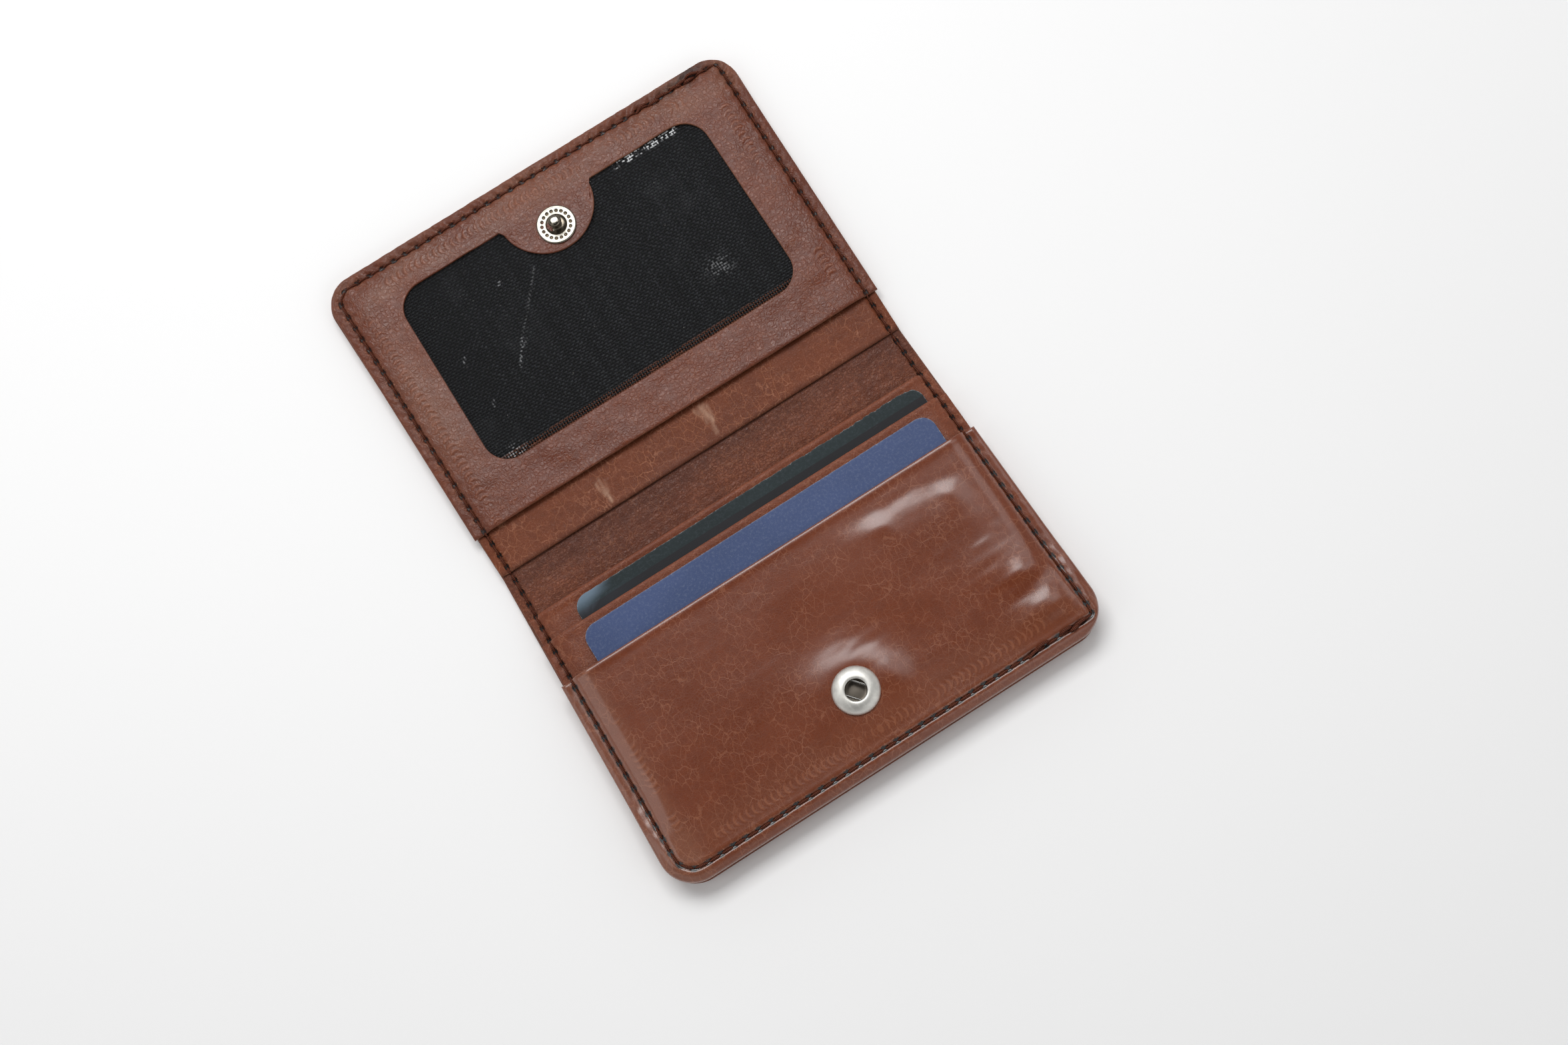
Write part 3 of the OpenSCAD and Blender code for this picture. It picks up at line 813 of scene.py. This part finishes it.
# a very narrow first row keeps the shading flat up to the joined cut
spine_rows = stations(0, HALF_LEN - 0.4, 1.4, [0, 0.01] + list(np.arange(0.28, 13, 0.28)), EDGE_STEPS)
cover_rows = stations(0, HALF_LEN, 1.1, [0, 0.01] + list(np.arange(0.6, 12.6, 0.6)), EDGE_STEPS)
for tag, line, blend_, spine in (("rear", rear_line, REAR_BLEND, True),
                                 ("front", front_line, FRONT_BLEND, False)):
    ob = skin("cover_leather_" + tag, line(0, 0, 0), cover_levels, 0.55, 0.9, "joined", rows_at=cover_rows)
    dress(ob, cover_leather, "cover_leather", "cover_" + tag, *["cover_spine"] * spine, blend=blend_)
    ob = skin("lining_leather_" + tag, line(0, -0.3, 0.4), lining_levels, 0.2, 0.8, "joined",
              lining_marks, spine_rows)
    dress(ob, lining_leather, "lining_leather", "lining_" + tag, *["lining_spine"] * spine, blend=blend_)

for k, tag, extra, inset, material, marks, lift in (
        (1, "back", -0.6, 1.0, inner_leather, None, dict(sag=-0.1, mouth_lift=0.2)),
        (2, "middle", -0.4, 0.8, inner_leather, None, {}),
        (3, "front", 0.05, 0.15, front_leather, front_marks, dict(mouth_lift=0.1))):
    line = rear_line(POCKETS[k][0], extra, inset)
    ob = skin(tag + "_pocket_leather", line, pocket_levels(k, **lift), marks=marks)
    dress(ob, material, "panel_leather", "pocket_panel_" + tag, body="pocket_half")
ob = skin("hidden_pocket_leather", front_line(0.3, -0.2, 0.8), hidden_levels, marks=hidden_marks)
dress(ob, hidden_leather, "panel_leather", "hidden_pocket_panel", "hidden_pocket_lip", blend=FRONT_BLEND)


# ---- window frame: a ring between the opening and the outline ----
def arc(cx, cy, radius, start, stop, n):
    return [(cx + radius * math.cos(t), cy + radius * math.sin(t)) for t in np.linspace(start, stop, n)]


EIGHTH = 0.25 * math.pi


def eighth(cx, cy, radius, k, n=12):
    """Points of the k-th eighth of a turn."""
    return arc(cx, cy, radius, k * EIGHTH, (k + 1) * EIGHTH, n)


def window_loop():
    """The opening's edge, anticlockwise from its lower left corner, as four sides of points."""
    w, r, hi = WINDOW_W / 2 - WINDOW_R, WINDOW_R, WINDOW_TOP
    lo = WINDOW_Y + r
    fillet = 0.9  # where the tab leaves the opening's edge
    fx = math.sqrt((TAB_R + fillet) ** 2 - fillet**2)
    a0 = math.asin(fillet / (TAB_R + fillet))
    bottom = eighth(-w, lo, r, 5) + eighth(w, lo, r, 6)
    right = eighth(w, lo, r, 7) + eighth(w, hi - r, r, 0)
    top = eighth(w, hi - r, r, 1)
    top += arc(fx, hi - fillet, fillet, 2 * EIGHTH, math.pi - a0, 8)
    top += arc(0, hi, TAB_R, -a0, -math.pi + a0, 60)
    top += arc(-fx, hi - fillet, fillet, a0, 2 * EIGHTH, 8)
    top += eighth(-w, hi - r, r, 2)
    left = eighth(-w, hi - r, r, 3) + eighth(-w, lo, r, 4)
    return [bottom, right, top, left]


def outer_loop(line):
    """The panel's outline as four sides of points, in the same order."""
    r, e = line.r, line.end
    w1, w0, s0 = line.w1, line.w0, line.s0
    bottom = [(-w0, s0), (w0, s0)]
    right = [(w0, s0), (w1, e - r)] + eighth(w1 - r, e - r, r, 0, 10)[1:]
    top = eighth(w1 - r, e - r, r, 1, 10) + eighth(-w1 + r, e - r, r, 2, 10)
    left = eighth(-w1 + r, e - r, r, 3, 10) + [(-w0, s0)]
    return [bottom, right, top, left]


def resample(points, n):
    """The same open line as n points at an even distance, without its last one."""
    pts = np.array(points, float)
    keep = np.concatenate([[True], np.hypot(*np.diff(pts, axis=0).T) > 1e-9])
    pts = pts[keep]
    t = np.concatenate([[0], np.cumsum(np.hypot(*np.diff(pts, axis=0).T))])
    at = np.linspace(0, t[-1], n + 1)[:-1]
    return np.stack([np.interp(at, t, pts[:, 0]), np.interp(at, t, pts[:, 1])], -1)


def ring_normals(loop):
    d = np.roll(loop, -1, 0) - np.roll(loop, 1, 0)
    n = np.stack([d[:, 1], -d[:, 0]], -1)
    return n / np.linalg.norm(n, axis=1)[:, None]


def window_frame():
    line = front_line(10.0, 0.35, 0.5)
    counts = (230, 150, 330, 150)
    inner = np.concatenate([resample(p, n) for p, n in zip(window_loop(), counts)])
    outer = np.concatenate([resample(p, n) for p, n in zip(outer_loop(line), counts)])
    inner_steps = np.array([0, 0.015, 0.05, 0.11, 0.2, 0.32, 0.5, 0.8])
    rings = [inner + ring_normals(inner) * e for e in inner_steps]
    # towards the outline the rings are scaled copies of it, so that they keep its corners
    half, cy = (line.end - line.s0) / 2, (line.s0 + line.end) / 2
    edge = [np.stack([outer[:, 0] * (1 - e / line.w1), cy + (outer[:, 1] - cy) * (1 - e / half)], -1)
            for e in EDGE_STEPS[:0:-1]] + [outer]
    between = [rings[-1] + (edge[0] - rings[-1]) * t for t in np.linspace(0, 1, 16)[1:-1]]
    grid = np.array(rings + between + edge)
    x, s = grid[..., 0], grid[..., 1]
    rows, cols = x.shape
    inside = line.inside(x, s)
    inside[-1] = 0
    from_hole = np.concatenate([inner_steps, np.full(rows - len(inner_steps), 9.0)])[:, None] + 0 * x
    m = np.maximum(s - line.s0, 0)
    upper, lower, q, along = frame_height(x, s, m)
    upper = upper - 0.06 * bell(from_hole, 0, 0.9)
    near = np.minimum(inside, m)
    cut = quarter_round(from_hole, 0.16) * 0.35 + 0.65
    part = np.minimum(quarter_round(near, np.minimum(0.5, 0.5 * (upper - lower))), cut)
    verts = both_faces(x, s, upper, lower, part)
    a = np.arange(rows * cols).reshape(rows, cols)
    b = a + rows * cols
    b[-1] = a[-1]
    a, b = (np.concatenate([g, g[:, :1]], 1) for g in (a, b))
    rim = np.stack([a[0, :-1], a[0, 1:], b[0, 1:], b[0, :-1]], -1)
    used, quads = compact(np.concatenate([grid_quads(a)[:, ::-1], grid_quads(b), rim]), 2 * rows * cols)
    ob = make_mesh("window_frame_leather", verts[used], quads)
    raw = 1.6 * np.exp(-from_hole / 0.12) * (0.5 + 0.5 * smooth(-8, 12, x)) + np.exp(-near / RIM_FADE)
    give_leather(ob, verts[used], used, x, s, q, along, raw, frame_marks(x, s, q))
    return ob


dress(window_frame(), panel_leather, "panel_leather", "window_frame_panel", body="window_half")


# ---- thread ----
def tube(path, radii, sides, twist):
    """Vertices and faces of a tube with closed ends along a path, and each vertex's distance along
    it and angle round it. The cross-section is a little oval and turns with the twist."""
    path = np.asarray(path, float)
    d = np.gradient(path, axis=0)
    d /= np.linalg.norm(d, axis=1)[:, None]
    side = np.cross(d, [0, 0, 1.0])
    side /= np.maximum(np.linalg.norm(side, axis=1), 1e-9)[:, None]
    up = np.cross(side, d)
    length = np.concatenate([[0], np.cumsum(np.linalg.norm(np.diff(path, axis=0), axis=1))])
    a = np.linspace(0, 2 * np.pi, sides, endpoint=False)
    lobes = 1 + 0.14 * np.cos(2 * (a[None, :, None] - twist * length[:, None, None]))
    round_ = np.cos(a)[None, :, None] * side[:, None] + np.sin(a)[None, :, None] * up[:, None]
    ring = path[:, None] + np.asarray(radii)[:, None, None] * lobes * round_
    n = len(path)
    verts = np.concatenate([ring.reshape(-1, 3), path[:1], path[-1:]])
    faces = stack_faces(sides, n)[:-2]
    for j in range(sides):
        k, last = (j + 1) % sides, (n - 1) * sides
        faces += [(n * sides, k, j), (n * sides + 1, last + j, last + k)]
    ply = np.column_stack([np.repeat(length, sides), np.tile(a, n)])
    return verts, faces, np.concatenate([ply, [[0, 0], [length[-1], 0]]])


def join(name, tubes):
    """One mesh of many tubes."""
    verts, faces, ply, base = [], [], [], 0
    for v, f, p in tubes:
        verts.append(v)
        faces += [[i + base for i in face] for face in f]
        ply.append(p)
        base += len(v)
    ob = make_mesh(name, np.concatenate(verts), faces)
    give(ob, "ply", np.concatenate(ply))
    return ob


def surface(sgn, x, s):
    """Height of the topmost leather at a point, beside the thread."""
    z = lambda levels: float(levels(np.array([x]), np.array([s]), np.array([9.0]))[0][0])
    if sgn > 0 and s > 0.3:
        return z(frame_height if s > 10.0 else hidden_levels)
    for k in (3, 2, 1):
        if sgn < 0 and s > POCKETS[k][0]:
            return z(pocket_levels(k))
    return z(lining_levels)


def thread_radii(radius, t):
    """A thread is thinner in the holes at its ends."""
    return radius * (0.72 + 0.28 * np.sin(np.pi * t) ** 0.5)


def stitch(sgn, p0, p1, lift=0.3, radius=0.23, wild=0.0):
    """One visible length of thread from hole to hole on the inner face."""
    sunk = 0.42  # depth of its ends in the holes
    t = np.linspace(0, 1, 11)
    swerve = rng.uniform(-1, 1, 2) * wild
    pts = []
    for v in t:
        x, s = np.array(p0) * (1 - v) + np.array(p1) * v + swerve * math.sin(math.pi * v)
        rise = 1 - abs(2 * v - 1) ** 3.2
        pts.append((x, sgn * s, surface(sgn, x, s) - sunk + (lift + sunk) * rise))
    return tube(pts, thread_radii(radius, t), 8, 3.5 * sgn)


def under_stitch(sgn, p0, p1):
    """The same length of thread on the outer face."""
    t = np.linspace(0, 1, 9)
    x, s = (a + (b - a) * t for a, b in zip(p0, p1))
    path = np.column_stack([x, sgn * s, 0.3 + 0.3 * np.abs(2 * t - 1) ** 3])
    return tube(path, thread_radii(0.24, t), 6, 3.5)


def seam_stitches(sgn):
    """Pairs of hole positions round one half, from the spine to the outer end."""
    pairs = []
    for side in (-1, 1):
        last_s, last_x = CORNERS[sgn, side][1:3]
        for i in range(-4, 20):
            a, b = max(FIRST_HOLE + i * PITCH, 0.0), FIRST_HOLE + (i + 1) * PITCH
            if 0.4 < b < last_s + 0.1:
                pairs.append(((side * seam_x(a), a), (side * seam_x(b), b)))
        turn = corner_holes(sgn, side)
        pairs += list(zip(turn[:-1], turn[1:]))
        for i in range(1, 16):
            a, b = (i - 0.5) * PITCH, (i + 0.5) * PITCH
            if b < last_x + 0.1:
                pairs.append(((side * a, SEAM_END), (side * b, SEAM_END)))
    pairs.append(((-PITCH / 2, SEAM_END), (PITCH / 2, SEAM_END)))
    return pairs


# the ends of the thread are sewn back over the last stitches, from x to x at the outer end
SEWN_BACK = {-1: ((33, 36), (35, 38.5), (41, 44), (43, 46), (44.5, 47.5)),
             1: ((28, 31), (31, 34), (33, 36.5), (37, 40), (38, 41.5), (40.5, 43.5), (41, 45))}
for sgn, tag, blend_, nodes in ((-1, "rear", REAR_BLEND, ("stitching_rear", "stitching_spine")),
                                (1, "front", FRONT_BLEND, ("stitching_front",))):
    tubes = []
    for p0, p1 in seam_stitches(sgn):
        p0 = (p0[0] + rng.uniform(-0.07, 0.07), p0[1] + rng.uniform(-0.07, 0.07))
        tubes.append(stitch(sgn, p0, p1))
        tubes.append(under_stitch(sgn, p0, p1))
    for a, b in SEWN_BACK[sgn]:
        off = rng.uniform(-0.5, 0.5, 2)
        tubes.append(stitch(sgn, (a, SEAM_END + off[0]), (b, SEAM_END + off[1]), 0.65, 0.34, 0.4))
    dress(join("thread_" + tag, tubes), thread, "thread", *nodes, blend=blend_)


# ---- window net: a plain weave of real threads ----
NET_PITCH, NET_Z = 0.62, 3.4
# Hairs and lint: two ends and how bright.
LINT = ((-9.1, 55.1, -15.0, 47.9, 0.28), (-15.0, 47.9, -19.3, 43.0, 0.2), (-19.3, 43.0, -23.0, 37.4, 0.75),
        (-17.6, 55.8, -17.0, 56.7, 0.9), (-32.9, 44.9, -32.1, 45.9, 0.8), (-32.3, 33.0, -31.8, 34.2, 0.7),
        (-20.4, 40.8, -18.6, 42.0, 0.3))


def net_sparks(x, y):
    """Painted glints on some crossings, and a few hairs lying on the net."""
    seed = np.sin(np.round(x / NET_PITCH) * 12.99 + np.round(y / NET_PITCH) * 78.23)
    chance = np.modf(np.abs(seed) * 4375.8)[0]
    row = smooth(17, 19, x) * smooth(34.5, 33, x) * smooth(64.3, 64.6, y) * 1.3
    patch = bell(np.hypot(x - 25, (y - 33) / 0.8), 0, 2.6) * 0.24
    corner = bell(np.hypot((x + 33.5) / 1.5, y - 21.6), 0, 1.5) * 0.6
    bright = (row + patch + corner) * smooth(0.3, 0.6, chance)
    hairs = sum(0.4 * w * streak(x, y, *ends, 0.2) for *ends, w in LINT)
    return np.clip(np.maximum(bright, hairs), 0, 0.95)


def leather_behind(y):
    """Where the leather shows through the net, along its lower edge."""
    return 0.75 * smooth(22.6, 21.9, y) * (np.abs(np.sin(y * 4.2)) > 0.6)


def net():
    """Flat threads that pass over and under each other."""
    amp, half_w, half_t = 0.052, 0.165, 0.055
    xs = np.arange(-64, 65) * NET_PITCH
    ys = WINDOW_Y - 1.2 + np.arange(0, 78) * NET_PITCH
    verts, faces, crown, base = [], [], [], 0
    sides = np.array([(1, 0), (0, 1), (-1, 0), (0, -1)], float)[None]
    for fixed, moving, along_x, parity in ([(y, xs, True, i % 2) for i, y in enumerate(ys)]
                                           + [(x, ys, False, (i + 1) % 2) for i, x in enumerate(xs)]):
        t = np.arange(2 * len(moving) - 1) / 2
        pos = np.interp(t, np.arange(len(moving)), moving)
        z = NET_Z + amp * np.cos(math.pi * (t + parity))
        wob = 0.07 * noise(pos, np.full_like(pos, fixed), 3, 3, 301 + along_x)
        c = np.stack([pos, fixed + wob, z] if along_x else [fixed + wob, pos, z], -1)
        across = np.array([0, half_w, 0] if along_x else [half_w, 0, 0])
        ring = c[:, None] + sides[..., :1] * across + sides[..., 1:] * np.array([0, 0, half_t])
        n = len(c)
        idx = np.arange(n * 4).reshape(n, 4)
        if not along_x:
            idx = idx[:, ::-1]
        nxt = np.roll(idx, -1, 1)
        verts.append(ring.reshape(-1, 3))
        walls = np.stack([idx[1:], nxt[1:], nxt[:-1], idx[:-1]], -1).reshape(-1, 4)
        faces.append(np.concatenate([walls, [idx[0], idx[-1][::-1]]]) + base)
        # the raised weft gets a painted highlight
        high = (z > NET_Z) * 1.0
        tone = 0.6 + 0.4 * noise(c[:, 0], c[:, 1], 0.7, 0.7, 303)
        tones = [high * tone * along_x, high * net_sparks(c[:, 0], c[:, 1]), leather_behind(c[:, 1])]
        crown.append(np.repeat(np.stack(tones, -1), 4, axis=0))
        base += n * 4
    ob = make_mesh("window_net", np.concatenate(verts), np.concatenate(faces))
    give(ob, "weft", np.concatenate(crown))
    return ob


net_piece = dress(net(), net_thread, "black_mesh", "window_mesh", body="window_half")


# ---- cards ----
def card(name, cx, y_top, z, worn, h=CARD_H, t=CARD_T, glint=None):
    """A plastic card with rounded corners, softened edges and small nicks along its top."""
    y0, y1 = y_top - h, y_top
    dx, quarter = CARD_W / 2 - CARD_R, math.pi / 2
    loop = []
    for px, py, turns in ((cx + dx, y0 + CARD_R, -1), (cx + dx, y1 - CARD_R, 0),
                          (cx - dx, y1 - CARD_R, 1), (cx - dx, y0 + CARD_R, 2)):
        loop += arc(px, py, CARD_R, turns * quarter, (turns + 1) * quarter, 13)
    loop = resample(loop + loop[:1], 720)
    x = loop[:, 0]
    nick = 0.5 + 0.5 * noise(x, 0 * x, 0.9, 1, 401) + 0.5 * noise(x, 0 * x, 0.35, 1, 403)
    top_side = smooth(y1 - 0.6, y1, loop[:, 1])
    loop[:, 1] -= worn * top_side * np.clip(nick, 0, 1.4) * (0.35 + 0.65 * smooth(0, 25, x))
    centre = np.array([cx, (y0 + y1) / 2])
    soft = 0.09  # radius of its edges
    profile = [(0, 0.28), (0, 0.72)]  # distance inwards, part of the thickness
    profile += [(soft * (1 - math.cos(a)), 1 - soft / t * (1 - math.sin(a)))
                for a in np.linspace(0.3, quarter, 4)]
    profile += [(0.35, 1), (0.9, 1), (2.2, 1)]
    rings = [(e, 1 - v) for e, v in profile[::-1]] + profile
    verts = [np.column_stack([centre + (loop - centre) * (1 - e / np.array([CARD_W / 2, h / 2])),
                              np.full(len(loop), z + t * v)]) for e, v in rings]
    verts = np.concatenate(verts)
    rim = np.repeat([math.exp(-e / 0.45) for e, _ in rings], len(loop))
    ob = make_mesh(name, verts, stack_faces(len(loop), len(rings)))
    give(ob, "rest", verts)
    give(ob, "marks", np.column_stack([rim, glint(verts) if glint else 0 * rim]))
    return ob


# painted highlight: a bluish glint in the left corner of the dark card
def painted_corner_glint(v):
    return 0.7 * smooth(-31, -37, v[:, 0] - 1.2 * (v[:, 1] + 14)) * bell(v[:, 1], -13, 2.0)


dress(card("dark_bank_card", 2.9, -12.6, DARK_CARD_Z, 0.28, glint=painted_corner_glint),
      dark_plastic, "dark_card", "card_dark", body="dark_card")
dress(card("blue_bank_card", 1.3, -19.3, BLUE_CARD_Z, 0.05),
      blue_plastic, "blue_card", "card_blue", body="blue_card")
dress(card("window_insert_card", 0, WINDOW_Y + 1.3 + INSERT_H, INSERT_Z, 0.0, INSERT_H, INSERT_T),
      insert_plastic, "insert_card", "window_insert", body="insert")


# ---- pocket liners ----
def liner(name, y0, y1, z, node):
    """A thin sheet of cloth under a pocket panel."""
    xs, ys = np.linspace(-46.5, 46.5, 120), np.linspace(y0, y1, 70)
    y, x = np.meshgrid(ys, xs, indexing="ij")
    wave = 0.03 * noise(x, y, 9, 6, 501)
    used, quads = two_sided(*x.shape)
    verts = both_faces(x, y, z + 0.1 + wave, z + 0.02 + wave)[used]
    ob = make_mesh(name, verts, quads)
    give(ob, "rest", verts)
    dress(ob, liner_cloth, "liner_fabric", node, body="pocket_half")


liner("back_pocket_liner", -68.4, -18.3, 4.0, "pocket_liner_back")
liner("middle_pocket_liner", -73.1, -27.8, 5.9, "pocket_liner_middle")


# ---- snap ----
def lathe(name, cy, z0, profile, spokes=144, dimples=(0, 0, 1, 1), well=(0, 0, 0)):
    """A turned part about a vertical axis. profile is (radius, height) from the outside in, dimples
    is (count, diameter of their circle, size, depth), and well is (from radius, to radius, shade)."""
    a = np.linspace(0, 2 * np.pi, spokes, endpoint=False)
    count, circle, size, depth = dimples
    rings, sunk = [], []
    for r, h in profile:
        dip = 0 * a
        for k in range(count):
            t = 2 * np.pi * k / count
            gap = np.hypot(r * np.cos(a) - circle / 2 * np.cos(t), r * np.sin(a) - circle / 2 * np.sin(t))
            dip = np.maximum(dip, depth * np.clip(1 - (gap / size) ** 4, 0, 1) ** 0.5)
        rings.append(np.stack([r * np.cos(a), cy + r * np.sin(a), z0 + h - dip], -1))
        shade = well[2] * float(well[0] < r < well[1])
        sunk.append(np.stack([np.clip(dip / depth, 0, 1), shade + 0 * a], -1))
    ob = make_mesh(name, np.concatenate(rings), stack_faces(spokes, len(profile)))
    give(ob, "sunk", np.concatenate(sunk))
    return ob


stud_profile = [(1.05, -0.7), (1.1, -0.05), (4.2, -0.05), (4.36, 0.02), (4.4, 0.12), (4.36, 0.26),
                (4.24, 0.36), (4.08, 0.4), (3.95, 0.37)]
stud_profile += [(r, 0.36 - 0.07 * (3.85 - r) ** 1.3) for r in np.arange(3.85, 2.5, -0.06)]
stud_profile += [(2.46, 0.26), (2.38, 0.25), (2.28, 0.18), (2.05, 0.12), (1.85, 0.05), (1.5, 0.02),
                 (1.2, 0.04), (1.06, 0.12), (1.0, 0.3), (0.98, 0.9), (1.0, 1.5), (1.06, 1.7),
                 (1.24, 1.86), (1.38, 2.02), (1.45, 2.2), (1.41, 2.42), (1.27, 2.66), (1.04, 2.82),
                 (0.76, 2.91), (0.42, 2.94), (0.1, 2.95)]
stud = lathe("snap_stud_cap", SNAP_Y, FRAME_TOP, stud_profile, 216, (18, 6.35, 0.34, 0.2), (1.0, 2.35, 0.6))
dress(stud, nickel, "snap_metal", "snap_stud", body="window_half")
socket_profile = [(2.5, -0.8), (2.6, -0.7), (2.6, -0.05), (4.95, -0.05), (5.04, 0.05), (5.05, 0.25),
                  (5.0, 0.5), (4.86, 0.78), (4.6, 1.06), (4.25, 1.32), (3.85, 1.53), (3.45, 1.68),
                  (3.05, 1.77), (2.75, 1.8), (2.5, 1.77), (2.34, 1.66), (2.26, 1.45), (2.25, 1.2),
                  (2.25, -0.6), (2.1, -0.65), (1.7, -0.64), (1.2, -0.6), (0.7, -0.56), (0.1, -0.55)]
socket = lathe("snap_socket_ring", -SNAP_Y, FRONT_TOP, socket_profile, well=(0, 2.3, 0.85))
dress(socket, dull_nickel, "snap_metal", "snap_socket", body="pocket_half")
for node in ("snap_stud_backing", "snap_socket_backing", "snap_socket_spring"):
    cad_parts[node].data.materials.clear()
    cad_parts[node].data.materials.append(wire_steel if node.endswith("spring") else dull_nickel)


# ---- floor, light, camera ----
def stage_material():
    """Plain white, glowing more far away: painted light."""
    n = Nodes("studio_floor")
    at = n.place()
    soft = n.noise(n.scaled(at, 3), 1.0, 2)
    # painted light: the floor glows more with distance
    n.put(n.ramp(n.length(at), 0.2, 1.2, 0.0, 0.45), n.bsdf.inputs["Emission Strength"])
    return n.finish(n.mix(n.ramp(soft, 0.2, 0.8), srgb(251, 251, 251), srgb(254, 254, 254)), 0.8,
                    Emission_Color=(1.0, 1.0, 1.0, 1.0))


FLOOR = 3000
corners = [(x * FLOOR, y * FLOOR, -0.05) for x, y in ((-1, -1), (1, -1), (1, 1), (-1, 1))]
floor = make_mesh("studio_floor", corners, [[0, 1, 2, 3]])
floor.data.materials.append(stage_material())

world = bpy.data.worlds.new("studio")
world.use_nodes = True
tree = world.node_tree
sky = tree.nodes.new("ShaderNodeTexCoord")
height = tree.nodes.new("ShaderNodeSeparateXYZ")
fade = tree.nodes.new("ShaderNodeMapRange")
tree.links.new(sky.outputs["Generated"], height.inputs[0])
tree.links.new(height.outputs[2], fade.inputs[0])
for i, v in enumerate((0.3, 0.75, 0.75, 0.04)):  # bright near the horizon, dark overhead
    fade.inputs[i + 1].default_value = v
world.node_tree.nodes["Background"].inputs[0].default_value = (1, 1, 1, 1)
tree.links.new(fade.outputs[0], tree.nodes["Background"].inputs[1])
bpy.context.scene.world = world


def softbox(name, place, aim, size, radiance):
    """A rectangular light that faces its aim."""
    lamp = bpy.data.lights.new(name, "AREA")
    lamp.shape = "RECTANGLE"
    lamp.size, lamp.size_y = size[0] * MM, size[1] * MM
    lamp.energy = radiance * math.pi * lamp.size * lamp.size_y
    ob = bpy.data.objects.new(name, lamp)
    bpy.context.scene.collection.objects.link(ob)
    ob.location = Vector(place) * MM
    ob.rotation_euler = (Vector(aim) - Vector(place)).to_track_quat("-Z", "Y").to_euler()


softbox("key_light", (40, 325, 600), (0, 20, 0), (480, 300), 7.1)
softbox("side_light", (-400, 20, 520), (0, 0, 0), (200, 420), 1.4)
softbox("fill_light", (260, -470, 480), (0, 0, 0), (520, 300), 1.0)
softbox("right_light", (340, 60, 600), (0, 0, 0), (190, 300), 1.7)

# The camera, solved from the case's edges, cards and snaps: focal length and width in pixels,
# place, and directions of view and of the picture's top.
FOCAL, WIDTH = 2560, 2353
EYE = Vector((-12.26, -87.42, 355.21))
LOOK, UP = Vector((0.0523, 0.1818, -0.9819)), Vector((0.5339, 0.8259, 0.1813))
camera = bpy.data.objects.new("camera", bpy.data.cameras.new("camera"))
bpy.context.scene.collection.objects.link(camera)
camera.data.sensor_width = 36
camera.data.lens = 36 * FOCAL / WIDTH
camera.data.clip_start = 0.01
look = LOOK.normalized()
right = look.cross(UP).normalized()
turn = Matrix((right, right.cross(look), -look)).transposed().to_4x4()
camera.matrix_world = Matrix.Translation(EYE * MM) @ turn
bpy.context.scene.camera = camera
bpy.context.scene.view_settings.view_transform = "Standard"
